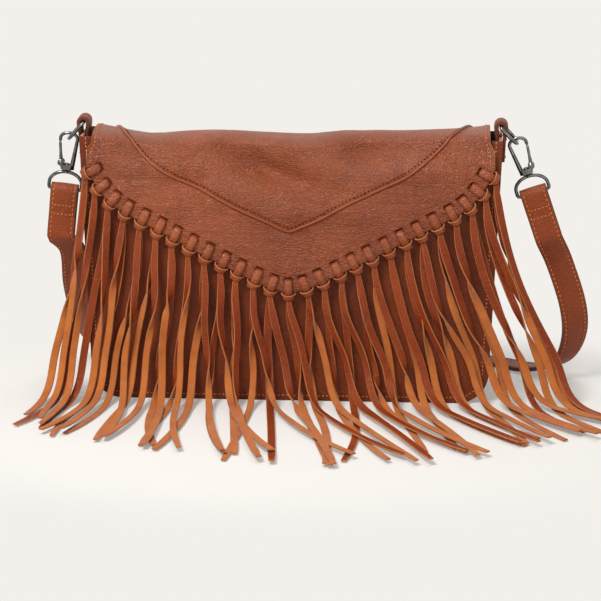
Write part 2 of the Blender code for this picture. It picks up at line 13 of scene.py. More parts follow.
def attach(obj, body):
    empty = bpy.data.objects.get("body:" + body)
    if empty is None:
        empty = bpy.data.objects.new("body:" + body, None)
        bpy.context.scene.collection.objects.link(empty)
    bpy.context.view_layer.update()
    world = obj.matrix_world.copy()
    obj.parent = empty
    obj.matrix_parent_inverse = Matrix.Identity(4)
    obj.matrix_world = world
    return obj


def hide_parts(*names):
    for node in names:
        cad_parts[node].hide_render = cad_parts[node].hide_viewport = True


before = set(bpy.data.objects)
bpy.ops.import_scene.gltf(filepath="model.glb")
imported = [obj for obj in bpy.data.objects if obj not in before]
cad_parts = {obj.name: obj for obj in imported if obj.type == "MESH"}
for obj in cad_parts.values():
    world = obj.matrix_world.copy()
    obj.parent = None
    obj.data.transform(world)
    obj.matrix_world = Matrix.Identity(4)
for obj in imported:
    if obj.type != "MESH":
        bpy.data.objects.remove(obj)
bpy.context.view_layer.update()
LUCK = random.Random(27)

# Camera, from the photograph
CAMERA_AZIMUTH = 3.5
CAMERA_ELEVATION = 15.0
CAMERA_DISTANCE = 1.9
CAMERA_TARGET = Vector((0.006, 0.0, 0.064))
FRAME_PIXELS = 601
PIXELS_PER_METRE = 1415

# Body
BODY_HEIGHT = 0.184
TOP_HALF_WIDTH = 0.146
BASE_HALF_WIDTH = 0.139
BASE_DEPTH = 0.060
TOP_DEPTH = 0.034
CORNER_RADIUS = 0.022
PANEL_BULGE = 0.006
LEATHER = 0.002
CLEARANCE = 0.0003

# Flap
FLAP_HALF_WIDTH = TOP_HALF_WIDTH - 0.005
FLAP_THICKNESS = 0.0022
FLAP_APEX_HEIGHT = 0.080
FLAP_SLOPE = 0.52
FLAP_APEX_ROUND = 0.012
FLAP_CORNER_RUN = 0.031
FLAP_CORNER_RISE = 0.018
FLAP_END_CROWN = 0.0017
FLAP_CROWN = 0.0044
FLAP_BACK_OVERLAP = 0.022
FLAP_TOP_STANDOFF = 0.0006
FLAP_EDGE_STANDOFF = 0.0036
TOP_SAG = 0.0065
TOP_TUCK = 0.0080
TUCK_START = 0.158
SEAM_APEX_HEIGHT = 0.122
SEAM_SLOPE = 0.476
SEAM_CURL = 3.3e6
SEAM_TOP_REACH = 0.1130
SEAM_BACK_REACH = 0.1290
TOP_NARROWING = 0.024
SEAM_STITCH_INSET = 0.0026
HEM_INSET = 0.0026
HEM_FROM, HEM_TO = 0.08, 2.72
BACK_ROWS = (0.10, 0.26)
FLAP_COLUMNS = 240
FLAP_FRONT_ROWS = 112

# Each swell or hollow: its height, the slope of its long axis, its place and its size
DENTS = (
    (0.0036, 0, 0.012, 0.180, 0.015, 0.010),
    (-0.0118, -0.26, -0.017, 0.1615, 0.032, 0.0112),
    (0.0022, -0.40, -0.040, 0.146, 0.030, 0.010),
    (-0.0075, 0, 0.050, 0.172, 0.018, 0.010),
    (0.0036, 0, -0.066, 0.180, 0.017, 0.010),
    (-0.0018, 0, -0.098, 0.178, 0.018, 0.012),
    (0.0024, 0, 0.090, 0.164, 0.026, 0.008),
    (0.0026, 0, 0.020, 0.137, 0.032, 0.009),
    (-0.0032, 0, -0.068, 0.154, 0.020, 0.009),
)

# Lacing and fringe
HITCH_COUNT = 27
HITCH_END_MARGIN = 0.006
HOLE_INSET = 0.0078
LACE_WIDTH = 0.0054
LACE_THICKNESS = 0.0014
COLLAR_HALF_WIDTH = 0.0042
COLLAR_HALF_DEPTH = 0.0029
COLLAR_LENGTH = 0.0048
COLLAR_DROP = 0.0009
STRAND_WIDTH = 0.0054
STRAND_THICKNESS = 0.0012
STRAND_LENGTH = 0.208
STRAND_BEND = 0.026
STRAND_SPLIT = 0.0009
STRAND_LIFT = 0.0026
STRAND_EASINGS = 14
STRAND_SPACING = 0.0030
CROSSING_STEP = 0.00013
FLOOR_GAP = 0.0004
SWAY_LEFT = -0.016
SWAY_RIGHT = 0.040
SWAY_SPLIT = 0.004
END_SPREAD = 0.007
HEADING_LEFT = -16.0
HEADING_RIGHT = 42.0
HEADING_SPLIT = 6.0
BACK_LAYER_OFFSET = 0.0028
FRONT_LAYER_OFFSET = 0.0068

# Strap
STRAP_WIDTH = 0.019
STRAP_THICKNESS = 0.0032
STRAP_FOLD = 0.034
STRAP_MEET = 0.016
STRAP_SIDE_ROOM = 0.060
STRAP_BACK_ROOM = 0.072
STRAP_RISE = 0.100
STITCH_PITCH = 0.0028
STRAP_PITCH = 0.0034
STRAP_SEAM = 0.76
STRAP_CROSS_ROWS = (0.011, 0.0175)
STITCH_RADIUS = 0.00038
SEAM_STITCH_LIFT = 0.00012

# Along one stitch: the place from end to end, the thickness and the height over the leather
STITCH_SHAPE = ((-1, 0.45, -0.9), (-0.6, 1, 0.1), (0, 1.1, 0.35), (0.6, 1, 0.1), (1, 0.45, -0.9))

# Tabs, rings and clasps
TAB_WIDTH = 0.014
TAB_LEG = 0.017
TAB_THICKNESS = 0.002
TAB_PLUMP = 0.0010
RING_WIRE = 0.00125
RING_GAP = 0.0005
RING_DROP = 0.0165
RING_CORNER = 0.0014
RING_HEIGHT = 0.006
HOOK_WIRE = 0.0012
HOOK_HALF_WIDTH = 0.0060
HOOK_STRAIGHT = 0.0205
HOOK_CROWN = 0.0042
HOOK_FOOT = 0.0036
HOOK_NOSE = 0.0023
BLOCK_HEIGHT = 0.0036
POST_RADIUS = 0.0012
POST_HEAD_RADIUS = 0.0020
POST_HEAD_HEIGHT = 0.0012
PIN_OFFSET = 0.0042
PIN_RISE = 0.0034
GATE_HALF_WIDTH = 0.0011
GATE_HALF_DEPTH = 0.0012
GATE_HEEL = 0.0012
STRAP_RING_DROP = 0.0125

# Backdrop and floor: the floor's glow runs from near to far, round a place a little in front of the origin
BACKDROP = (0.896, 0.871, 0.831)
FLOOR_NEAR, FLOOR_FAR, FLOOR_GLOW = 0.20, 0.36, 0.30
FLOOR_SHIFT, FLOOR_STRETCH = 0.075, 1.4

# Each side: the sign of X, the ring's and the clasp's lean from the body's side in degrees, the eye's slack
SIDES = {"right": (1, 46.5, 21.5, 0.0009), "left": (-1, 44.5, 8.5, 0.0013)}

X_AXIS, Y_AXIS, Z_AXIS = Vector((1, 0, 0)), Vector((0, 1, 0)), Vector((0, 0, 1))


# Small helpers

def lerp(a, b, t):
    return a + (b - a) * t


def smooth(t):
    t = min(1.0, max(0.0, t))
    return t * t * (3 - 2 * t)


def hill(x, z, at_x, at_z, wide, tall):
    """A soft round hill of height 1."""
    return math.exp(-((x - at_x) / wide) ** 2 - ((z - at_z) / tall) ** 2)


def catmull(points, per_span):
    """A smooth curve through the points."""
    ends = [points[0] * 2 - points[1]] + points + [points[-1] * 2 - points[-2]]
    curve = []
    for a, b, c, d in zip(ends, ends[1:], ends[2:], ends[3:]):
        for k in range(per_span):
            t = k / per_span
            curve.append((b * 2 + (c - a) * t + (a * 2 - b * 5 + c * 4 - d) * t ** 2
                          + (b * 3 - a - c * 3 + d) * t ** 3) / 2)
    return curve + [points[-1]]


def resample(points, spacing, others=()):
    """Points at even distances along a path, with any other list carried along."""
    travelled = [0.0]
    for a, b in zip(points, points[1:]):
        travelled.append(travelled[-1] + (b - a).length)
    count = max(2, round(travelled[-1] / spacing))
    lists = [points, *others]
    result = [[] for _ in lists]
    span = 0
    for k in range(count + 1):
        goal = travelled[-1] * k / count
        while span < len(points) - 2 and travelled[span + 1] < goal:
            span += 1
        t = (goal - travelled[span]) / max(1e-9, travelled[span + 1] - travelled[span])
        for made, source in zip(result, lists):
            made.append(source[span].lerp(source[span + 1], t))
    return result if others else result[0]


def frames(points, hints, closed=False):
    """The tangent, across and normal directions at each point; a hint is roughly the across."""
    result = []
    for k, point in enumerate(points):
        before = points[k - 1] if closed or k else point
        after = points[(k + 1) % len(points)] if closed or k + 1 < len(points) else point
        tangent = (after - before).normalized()
        across = (hints[k] - tangent * hints[k].dot(tangent)).normalized()
        result.append((tangent, across, tangent.cross(across)))
    return result


def loft(sections, closed=False, marks=None, row_marks=None):
    """Joins equal closed sections; marks give the material of each side of the section, or of each row."""
    count = len(sections[0])
    verts = [point for section in sections for point in section]
    faces, indices = [], []
    for row in range(len(sections) if closed else len(sections) - 1):
        here = row * count
        there = (row + 1) % len(sections) * count
        for k in range(count):
            after = (k + 1) % count
            faces.append((here + k, here + after, there + after, there + k))
            indices.append(row_marks[row] if row_marks else marks[k] if marks else 0)
    if not closed:
        faces.append(tuple(range(count)))
        faces.append(tuple(range(len(verts) - count, len(verts))))
        indices += [max(marks) if marks else 0] * 2
    return verts, faces, indices


def sweep(points, hints, section, closed=False, marks=None):
    """Sweeps a section of (across, normal) offsets; section may be a function of the share travelled."""
    rings = []
    last = max(1, len(points) - (0 if closed else 1))
    for k, (point, (_, across, normal)) in enumerate(zip(points, frames(points, hints, closed))):
        shape = section(k / last) if callable(section) else section
        rings.append([point + across * a + normal * b for a, b in shape])
    return loft(rings, closed, marks)


def oval(half_a, half_b, sides=16):
    """An ellipse as a section."""
    turns = [2 * math.pi * (k + 0.5) / sides for k in range(sides)]
    return [(half_a * math.cos(a), half_b * math.sin(a)) for a in turns]


def strip_section(width, thickness, steps=6, crown=0.0):
    """A flat strip with rounded long edges: normal side first, then one edge, the back and the other edge."""
    half, t = width / 2, thickness / 2
    flat = half - t * 0.6
    front = [(lerp(-flat, flat, k / steps), t + crown * (1 - (2 * k / steps - 1) ** 2))
             for k in range(steps + 1)]
    back = [(lerp(flat, -flat, k / steps), -t) for k in range(steps + 1)]
    return front + [(half, t * 0.45), (half, -t * 0.45)] + back + [(-half, -t * 0.45), (-half, t * 0.45)]


def strip_marks(steps=6):
    """Material 0 on the front, 2 on the cut edges and 1 on the back."""
    return [0] * steps + [2] * 3 + [1] * steps + [2] * 3


def join(*parts):
    """Joins (verts, faces, indices) parts into one."""
    verts, faces, indices = [], [], []
    for part_verts, part_faces, part_indices in parts:
        shift = len(verts)
        verts += part_verts
        faces += [tuple(v + shift for v in face) for face in part_faces]
        indices += part_indices
    return verts, faces, indices


def piece(name, shape, materials, body, slot, *replaced, sharp=40.0):
    """Makes an object from (verts, faces, indices), rides it on its body and hides what it stands for."""
    verts, faces, indices = shape
    mesh = bpy.data.meshes.new(name)
    mesh.from_pydata(verts, [], faces)
    shape = bmesh.new()
    shape.from_mesh(mesh)
    for face, index in zip(shape.faces, indices):
        face.material_index = index
    bmesh.ops.recalc_face_normals(shape, faces=shape.faces)
    shape.to_mesh(mesh)
    shape.free()
    for material in materials:
        mesh.materials.append(material)
    mesh.shade_smooth()
    mesh.set_sharp_from_angle(angle=math.radians(sharp))
    obj = bpy.data.objects.new(name, mesh)
    bpy.context.collection.objects.link(obj)
    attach(obj, body)
    if replaced:
        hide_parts(*replaced)
    return obj


def grid_sheet(inner, outer):
    """A closed thin solid between two grids: material 0 on its outer faces, 1 inside and 2 on the rim."""
    rows, cols = len(inner), len(inner[0])
    verts = [p for row in inner for p in row] + [p for row in outer for p in row]
    shift = rows * cols
    faces, indices = [], []
    for r in range(rows - 1):
        for c in range(cols - 1):
            a, b = r * cols + c, (r + 1) * cols + c
            faces.append((a, a + 1, b + 1, b))
            faces.append((a + shift, b + shift, b + 1 + shift, a + 1 + shift))
            indices += [1, 0]
    rim = list(range(cols - 1)) + [r * cols + cols - 1 for r in range(rows - 1)]
    rim += [(rows - 1) * cols + c for c in range(cols - 1, 0, -1)]
    rim += [r * cols for r in range(rows - 1, 0, -1)]
    for k, a in enumerate(rim):
        b = rim[(k + 1) % len(rim)]
        faces.append((a, b, b + shift, a + shift))
        indices.append(2)
    return verts, faces, indices


# Materials

class Graph:
    """A short way to write a material's nodes, in the object's own coordinates."""

    def __init__(self, name):
        self.material = bpy.data.materials.new(name)
        self.material.use_nodes = True
        self.tree = self.material.node_tree
        self.shader = self.tree.nodes["Principled BSDF"]
        self.place = self.tree.nodes.new("ShaderNodeTexCoord").outputs["Object"]

    def node(self, kind, inputs=None, **settings):
        made = self.tree.nodes.new("ShaderNode" + kind)
        for key, value in settings.items():
            setattr(made, key, value)
        for key, value in (inputs or {}).items():
            self.feed(made.inputs[key], value)
        return made

    def feed(self, socket, value):
        if isinstance(value, bpy.types.NodeSocket):
            self.tree.links.new(value, socket)
        else:
            socket.default_value = value

    def stretched(self, x, y, z):
        return self.node("Mapping", {"Vector": self.place, "Scale": (x, y, z)}).outputs["Vector"]

    def noise(self, scale, detail=4.0, roughness=0.55, place=None, distortion=0.0):
        inputs = {"Vector": place or self.place, "Scale": scale, "Detail": detail,
                  "Roughness": roughness, "Distortion": distortion}
        return self.node("TexNoise", inputs).outputs["Fac"]

    def cells(self, scale, place=None):
        """Irregular cells: 0 at their edges."""
        inputs = {"Vector": place or self.place, "Scale": scale}
        return self.node("TexVoronoi", inputs, feature="DISTANCE_TO_EDGE").outputs["Distance"]

    def span(self, value, low, high, to_low=0.0, to_high=1.0):
        inputs = {"Value": value, "From Min": low, "From Max": high, "To Min": to_low, "To Max": to_high}
        return self.node("MapRange", inputs).outputs["Result"]

    def math(self, operation, a, b=0.0):
        made = self.node("Math", operation=operation)
        self.feed(made.inputs[0], a)
        self.feed(made.inputs[1], b)
        return made.outputs[0]

    def blend(self, share, a, b, kind="MIX"):
        made = self.node("Mix", data_type="RGBA", blend_type=kind)
        self.feed(made.inputs[0], share)
        self.feed(made.inputs[6], a if isinstance(a, bpy.types.NodeSocket) else (*a, 1.0))
        self.feed(made.inputs[7], b if isinstance(b, bpy.types.NodeSocket) else (*b, 1.0))
        return made.outputs[2]

    def bump(self, height, strength, distance, normal=None):
        inputs = {"Height": height, "Strength": strength, "Distance": distance}
        if normal:
            inputs["Normal"] = normal
        return self.node("Bump", inputs).outputs["Normal"]

    def finish(self, color, roughness, normal=None, **plain):
        self.feed(self.shader.inputs["Base Color"], color)
        self.feed(self.shader.inputs["Roughness"], roughness)
        if normal:
            self.feed(self.shader.inputs["Normal"], normal)
        for key, value in plain.items():
            self.shader.inputs[key.replace("_", " ")].default_value = value
        return self.material


def leather(name, light, dark, grain=1.0, wrinkle=1.0, gloss=0.44, shine=0.42, shade=None):
    """Pebbled leather: fine cells, stretched creases that run along X, and slow changes of tone, with painted
    shade that darkens the creases, folds and cell edges.
    """
    g = Graph(name)
    warp = g.noise(140.0, 3.0)
    warped = g.node("Mix", {"Factor": 0.0018}, data_type="VECTOR")
    g.feed(warped.inputs[4], g.place)
    g.feed(warped.inputs[5], g.node("TexNoise", {"Vector": g.place, "Scale": 210.0}).outputs["Color"])
    pebble = g.span(g.cells(760.0), 0.0, 0.30)
    long_place = {"Vector": warped.outputs[1], "Scale": (230.0, 260.0, 600.0)}
    long_cells = g.node("Mapping", long_place).outputs["Vector"]
    strength = g.span(g.noise(38.0, 2.0), 0.35, 0.68, 0.25, 1.0)
    folds = g.span(g.cells(1.0, long_cells), 0.0, 0.26)
    folds = g.math("SUBTRACT", 1.0, g.math("MULTIPLY", g.math("SUBTRACT", 1.0, folds), strength))
    run = g.noise(1.0, 3.0, 0.55, g.stretched(60.0, 90.0, 230.0), 0.5)
    crease = g.span(g.math("ABSOLUTE", g.math("SUBTRACT", run, 0.5)), 0.0, 0.035)
    patches = g.noise(22.0, 4.0)
    tone = g.blend(g.span(patches, 0.30, 0.70), dark, light)
    # Painted shade: the folds, creases and cell edges are darkened towards this colour.
    crease_shade = tuple(c * 0.62 for c in dark)
    tone = g.blend(g.math("MULTIPLY", g.math("SUBTRACT", 1.0, folds), 0.16 * wrinkle), tone, crease_shade)
    tone = g.blend(g.math("MULTIPLY", g.math("SUBTRACT", 1.0, crease), 0.16 * wrinkle), tone, crease_shade)
    tone = g.blend(g.math("MULTIPLY", g.math("SUBTRACT", 1.0, pebble), 0.20 * grain), tone, crease_shade)
    tone = g.blend(g.span(warp, 0.52, 0.80, 0.0, 0.30), tone, tuple(min(1.0, c * 1.3) for c in light))
    # Painted shade: where the named attribute is 1, as in the lace holes, the leather is painted almost
    # black.
    if shade:
        mask = g.node("Attribute", attribute_name=shade).outputs["Fac"]
        tone = g.blend(mask, tone, tuple(c * 0.12 for c in dark))
    rough = g.span(g.noise(60.0, 3.0), 0.3, 0.7, gloss - 0.05, gloss + 0.10)
    normal = g.bump(pebble, 0.50 * grain, 0.0005)
    normal = g.bump(folds, 0.62 * wrinkle, 0.0008, normal)
    normal = g.bump(crease, 0.35 * wrinkle, 0.0007, normal)
    return g.finish(tone, rough, normal, Specular_IOR_Level=shine)


def suede(name, light, dark):
    """Brushed suede: soft patches of nap and a fine fibrous surface."""
    g = Graph(name)
    nap = g.noise(70.0, 5.0, 0.6)
    fibre = g.noise(1.0, 6.0, 0.7, g.stretched(2600.0, 2600.0, 900.0))
    tone = g.blend(g.span(nap, 0.32, 0.68), dark, light)
    tone = g.blend(g.span(fibre, 0.35, 0.65, 0.0, 0.35), tone, tuple(c * 0.6 for c in dark))
    normal = g.bump(fibre, 0.5, 0.00015)
    normal = g.bump(nap, 0.4, 0.0004, normal)
    return g.finish(tone, g.span(nap, 0.3, 0.7, 0.78, 0.92), normal, Sheen_Weight=0.25, Sheen_Roughness=0.4)


def thread(name, color):
    """Twisted sewing thread."""
    g = Graph(name)
    twist = g.noise(1.0, 2.0, 0.5, g.stretched(4200.0, 2600.0, 3600.0))
    tone = g.blend(g.span(twist, 0.35, 0.65), tuple(c * 0.6 for c in color), color)
    return g.finish(tone, 0.7, g.bump(twist, 0.6, 0.0001), Specular_IOR_Level=0.2)


def gunmetal(name):
    """Dark plated metal with a thin polish, faint clouds and hairline scratches."""
    g = Graph(name)
    clouds = g.noise(220.0, 3.0)
    scratches = g.noise(1.0, 2.0, 0.5, g.stretched(5200.0, 700.0, 900.0))
    tone = g.blend(g.span(clouds, 0.35, 0.7), (0.085, 0.084, 0.086), (0.20, 0.195, 0.19))
    rough = g.math("ADD", g.span(clouds, 0.3, 0.7, 0.12, 0.22), g.span(scratches, 0.6, 0.8, 0.0, 0.15))
    normal = g.bump(scratches, 0.15, 0.00003)
    return g.finish(tone, rough, normal, Metallic=1.0, Coat_Weight=0.3, Coat_Roughness=0.12)


def make_materials():
    tan, deep_tan = (0.305, 0.063, 0.011), (0.200, 0.036, 0.006)
    return {
        # The flap leather reads the 'dark' attribute, which is the lace holes' painted shade.
        "flap": leather("flap_leather", tan, deep_tan, gloss=0.36, shine=0.42, shade="dark"),
        "welt": leather("welt_leather", (0.33, 0.074, 0.018), (0.25, 0.052, 0.012), 0.5, 0.2, 0.36, 0.42),
        "body": leather("body_leather", (0.215, 0.040, 0.008), (0.135, 0.022, 0.004), 0.6, 0.4, 0.42, 0.20),
        "strap": leather("strap_leather", (0.29, 0.056, 0.012), (0.205, 0.035, 0.007), 0.7, 0.4, 0.40, 0.25),
        "tab": leather("tab_leather", (0.24, 0.049, 0.014), (0.15, 0.028, 0.008), 0.8, 0.5, 0.44, 0.28),
        "lace": leather("lace_leather", (0.36, 0.080, 0.018), (0.24, 0.045, 0.009), 1.0, 0.4, 0.32, 0.45),
        "strand": leather("strand_leather", (0.325, 0.054, 0.008), (0.205, 0.029, 0.0045), 1.0, 0.4,
                          0.40, 0.22),
        "suede": suede("strand_suede", (0.58, 0.170, 0.026), (0.43, 0.108, 0.015)),
        "cut": suede("cut_edge", (0.62, 0.25, 0.09), (0.47, 0.16, 0.045)),
        "strand_edge": suede("strand_edge", (0.50, 0.175, 0.045), (0.36, 0.105, 0.024)),
        "lining": suede("lining", (0.16, 0.07, 0.04), (0.11, 0.045, 0.026)),
        "dark_edge": suede("dark_edge", (0.17, 0.040, 0.014), (0.11, 0.024, 0.009)),
        "tan_thread": thread("tan_thread", (0.60, 0.22, 0.08)),
        "orange_thread": thread("orange_thread", (0.66, 0.22, 0.06)),
        "brown_thread": thread("brown_thread", (0.11, 0.026, 0.009)),
        "metal": gunmetal("gunmetal"),
    }


# The body's form, as in the part's source

def depth_at(z):
    """The body's depth at a height."""
    return lerp(BASE_DEPTH, TOP_DEPTH, z / BODY_HEIGHT)


def half_width_at(z):
    """Half the body's width at a height, with the rounded bottom corners."""
    if z >= CORNER_RADIUS:
        return lerp(BASE_HALF_WIDTH, TOP_HALF_WIDTH, (z - CORNER_RADIUS) / (BODY_HEIGHT - CORNER_RADIUS))
    drop = CORNER_RADIUS - z
    return BASE_HALF_WIDTH - CORNER_RADIUS + math.sqrt(max(0.0, CORNER_RADIUS ** 2 - drop ** 2))


def bulge_at(x, z):
    """How far a panel swells out past its flat face."""
    across = 1 - min(1.0, abs(x) / half_width_at(max(0.0, z))) ** 4
    up = min(1.0, max(0.0, z / BODY_HEIGHT))
    return PANEL_BULGE * across * math.sqrt(4 * up * (1 - up))


def panel_face(x, z):
    """How far a panel's outer face lies from the body's middle plane."""
    return depth_at(z) / 2 + CLEARANCE + LEATHER + bulge_at(x, z)


def flap_edge_height(x):
    """The flap's lower edge: a rounded V that turns up at its two corners."""
    rise = FLAP_SLOPE * (math.hypot(x, FLAP_APEX_ROUND) - FLAP_APEX_ROUND)
    past = max(0.0, abs(x) - (FLAP_HALF_WIDTH - FLAP_CORNER_RUN)) / FLAP_CORNER_RUN
    return FLAP_APEX_HEIGHT + rise + FLAP_CORNER_RISE * past ** 3


def top_height(x):
    """The height of the slack panels' top edge, which sags between its two ends."""
    return BODY_HEIGHT - TOP_SAG * (1 - min(1.0, abs(x) / FLAP_HALF_WIDTH) ** 4) + top_ripple(x)


def tuck(x, z):
    """How far the slack faces lean in towards the bag's closed top."""
    ends = 1 - min(1.0, abs(x) / FLAP_HALF_WIDTH) ** 4
    return TOP_TUCK * ends * smooth((z - TUCK_START) / (BODY_HEIGHT - TUCK_START)) ** 1.3


def dent(x, z):
    """The flap's soft swells and hollows, in metres outward."""
    return sum(height * hill(x, z - slope * (x - place[0]), *place) for height, slope, *place in DENTS)


def flap_front(x, z):
    """The Y of the flap's inner face on the front of the body."""
    drop = (BODY_HEIGHT - z) / (BODY_HEIGHT - flap_edge_height(x))
    standoff = lerp(FLAP_TOP_STANDOFF, FLAP_EDGE_STANDOFF, smooth(drop))
    return tuck(x, z) - (panel_face(x, z) + standoff + dent(x, z))


def flap_surface(x, t):
    """The flap's inner face: t runs 0 to 1 up the back, to 2 over the top and to 3 down the front."""
    x *= 1 - TOP_NARROWING * smooth((2.5 - t) / 0.5)
    if t <= 1:
        z = top_height(x) - FLAP_BACK_OVERLAP * (1 - t)
        return Vector((x, panel_face(x, z) + FLAP_TOP_STANDOFF - tuck(x, z), z))
    if t < 2:
        top = top_height(x)
        turn = math.pi * (t - 1)
        shift = tuck(x, top) + dent(x, top) * min(0.0, math.cos(turn))
        reach = panel_face(x, top) + FLAP_TOP_STANDOFF - shift
        crown = lerp(FLAP_CROWN, FLAP_END_CROWN, (abs(x) / FLAP_HALF_WIDTH) ** 4)
        return Vector((x, reach * math.cos(turn), top + crown * math.sin(turn)))
    z = lerp(top_height(x), flap_edge_height(x), t - 2)
    return Vector((x, flap_front(x, z), z))


def top_ripple(x):
    """The top fold's own dips and rises."""
    return (-0.0030 * hill(x, 0, -0.100, 0, 0.020, 1) + 0.0012 * hill(x, 0, -0.050, 0, 0.022, 1)
            - 0.0008 * hill(x, 0, 0.010, 0, 0.025, 1) + 0.0022 * smooth((x - 0.010) / 0.030))


def edge_frame(x):
    """A point in the middle of the flap's edge, with the directions along it, outward and forward."""
    step = 0.0005
    before, edge, after = (Vector((a, flap_front(a, flap_edge_height(a)), flap_edge_height(a)))
                           for a in (x - step, x, x + step))
    along = (after - before).normalized()
    flat = math.hypot(along.x, along.z)
    hole_x, hole_z = x - HOLE_INSET * along.z / flat, edge.z + HOLE_INSET * along.x / flat
    hole = Vector((hole_x, flap_front(hole_x, hole_z), hole_z))
    outward = (edge - hole).normalized()
    outward = (outward - along * outward.dot(along)).normalized()
    forward = outward.cross(along).normalized()
    forward *= -1 if forward.y > 0 else 1
    return edge + forward * FLAP_THICKNESS / 2, along, outward, forward


def hitch_places():
    """The X of each hitch, evenly spaced along the flap's edge."""
    steps = 600
    xs = [lerp(-FLAP_HALF_WIDTH, FLAP_HALF_WIDTH, k / steps) for k in range(steps + 1)]
    travelled = [0.0]
    for a, b in zip(xs, xs[1:]):
        rise = flap_edge_height(b) - flap_edge_height(a)
        travelled.append(travelled[-1] + math.hypot(b - a, rise))
    places = []
    for k in range(HITCH_COUNT):
        goal = lerp(HITCH_END_MARGIN, travelled[-1] - HITCH_END_MARGIN, k / (HITCH_COUNT - 1))
        nearest = min(range(len(xs)), key=lambda n: abs(travelled[n] - goal))
        places.append(xs[nearest])
    return places


HITCHES = [edge_frame(x) for x in hitch_places()]


# Stitching

def stitch(center, along, normal, length):
    """One stitch: a short thread that dips into the leather at both ends."""
    across = along.cross(normal).normalized()
    rings = []
    for share, size, dip in STITCH_SHAPE:
        middle = center + along * share * length / 2 + normal * dip * STITCH_RADIUS
        ring = oval(STITCH_RADIUS * size * 1.15, STITCH_RADIUS * size, 6)
        rings.append([middle + across * a + normal * b for a, b in ring])
    return loft(rings)


def seam_stitches(points, normals, pitch=STITCH_PITCH, share=0.68):
    """A row of stitches along a path on a surface."""
    points, normals = resample(points, pitch, [normals])
    parts = []
    for a, b, n in zip(points, points[1:], normals):
        along = (b - a).normalized()
        parts.append(stitch((a + b) / 2, along, n.normalized(), pitch * share))
    return join(*parts)


# Flap

def seam_height(x):
    """The height of the sewn V on the flap's front."""
    bow = 0.0034 * hill(x, 0, -0.056, 0, 0.022, 1)
    return SEAM_APEX_HEIGHT + SEAM_SLOPE * (math.hypot(x, 0.0015) - 0.0015) + SEAM_CURL * abs(x) ** 9 - bow


def seam_path(lift, inset=0.0):
    """The sewn V on the flap's outer face, from one end on the back to the other, with its normals."""
    spots = []
    for k in range(41):
        x = SEAM_TOP_REACH * k / 40
        height = seam_height(x) + inset
        top = top_height(x)
        spots.append((x, 2 + (top - height) / (top - flap_edge_height(x))))
    spots = [spot for spot in spots if spot[1] > 2.0]
    end = spots[-1][0]
    spots += [(lerp(end, SEAM_BACK_REACH - inset, (k / 14) ** 0.8), 2 - k / 14) for k in range(1, 14)]
    spots += [(SEAM_BACK_REACH - inset + 0.001, 1.0 - k / 4) for k in range(5)]
    whole = [(-x, t) for x, t in reversed(spots[1:])] + spots
    return on_flap(whole, lift)


def flap_normal(x, t):
    """The outward direction at a place on the flap."""
    step_x, step_t = 0.0015, 0.02
    up = flap_surface(x, min(3, t + step_t)) - flap_surface(x, max(0, t - step_t))
    side = flap_surface(x + step_x, t) - flap_surface(x - step_x, t)
    return up.cross(side).normalized()


def flap_relief(x, t, point):
    """The swells, dents and creases of the flap's outer face, in metres."""
    z = point.z
    front = smooth((t - 1.5) / 0.6)
    band = smooth((seam_height(x) - z) / 0.003)
    relief = 0.0005 * band
    fine = noise.noise(Vector((x * 75, z * 330, 1.7))) + 0.5 * noise.noise(Vector((x * 170, z * 700, 6.1)))
    slow = noise.noise(Vector((x * 24, z * 34, 9.3)))
    relief += 0.00018 * fine * (0.15 + band) + 0.0009 * slow
    relief -= 0.0005 * (0.3 + band) * max(0.0, noise.noise(Vector((x * 42, z * 260, 4.4))) - 0.16)
    hem = smooth((abs(x) - (FLAP_HALF_WIDTH - 0.0034)) / 0.0012)
    return relief * front * (1 - hem) + 0.0002 * fine * (1 - front)


def flap_outer(x, t, lift=0.0):
    """A point on the flap's outer face and the outward direction there."""
    base = flap_surface(x, t)
    normal = flap_normal(x, t)
    return base + normal * (FLAP_THICKNESS + flap_relief(x, t, base) + lift), normal


def on_flap(spots, lift):
    """The points and normals of a list of places on the flap's outer face."""
    points, normals = zip(*[flap_outer(x, t, lift) for x, t in spots])
    return list(points), list(normals)


def hole_mask(point):
    """1 in the middle of a lace hole, 0 away from all of them."""
    mask = 0.0
    for edge, along, outward, _ in HITCHES:
        away = point - edge
        if abs(away.x) < 0.02 and abs(away.z) < 0.02:
            a, b = away.dot(along), away.dot(outward) + HOLE_INSET + 0.0006
            reach = max(abs(a) / (LACE_WIDTH / 2 + 0.0006), abs(b) / 0.0018)
            mask = max(mask, smooth(1.6 * (1.15 - reach)))
    return mask


def flap(mats):
    """The whole flap as one closed sheet, with the lace holes sunk into its face and painted almost black in
    them as painted shade.
    """
    turns = [k / 7 for k in range(8)] + [1 + k / 20 for k in range(1, 20)]
    turns += [2 + k / FLAP_FRONT_ROWS for k in range(FLAP_FRONT_ROWS + 1)]
    xs = [FLAP_HALF_WIDTH * math.sin(math.pi / 2 * (2 * c / FLAP_COLUMNS - 1)) * 0.25
          + FLAP_HALF_WIDTH * (2 * c / FLAP_COLUMNS - 1) * 0.75 for c in range(FLAP_COLUMNS + 1)]
    inner, outer, hole_shade = [], [], []
    for t in turns:
        outer_row, inner_row = [], []
        for x in xs:
            point, normal = flap_outer(x, t)
            mask = hole_mask(point) if t > 2 else 0.0
            rim = smooth((t - 2.97) / 0.03) * 0.0004
            outer_row.append(point - normal * (mask * 0.0019 + rim))
            inner_row.append(flap_surface(x, t))
            hole_shade.append(mask)
        outer.append(outer_row)
        inner.append(inner_row)
    looks = [mats["flap"], mats["lining"], mats["cut"]]
    obj = piece("flap_shell", grid_sheet(inner, outer), looks, "bag", "flap_leather", "flap", sharp=60.0)
    # The lace holes' painted shade, read by the flap leather.
    dark = obj.data.attributes.new("dark", "FLOAT", "POINT")
    dark.data.foreach_set("value", [0.0] * (len(turns) * len(xs)) + hole_shade)


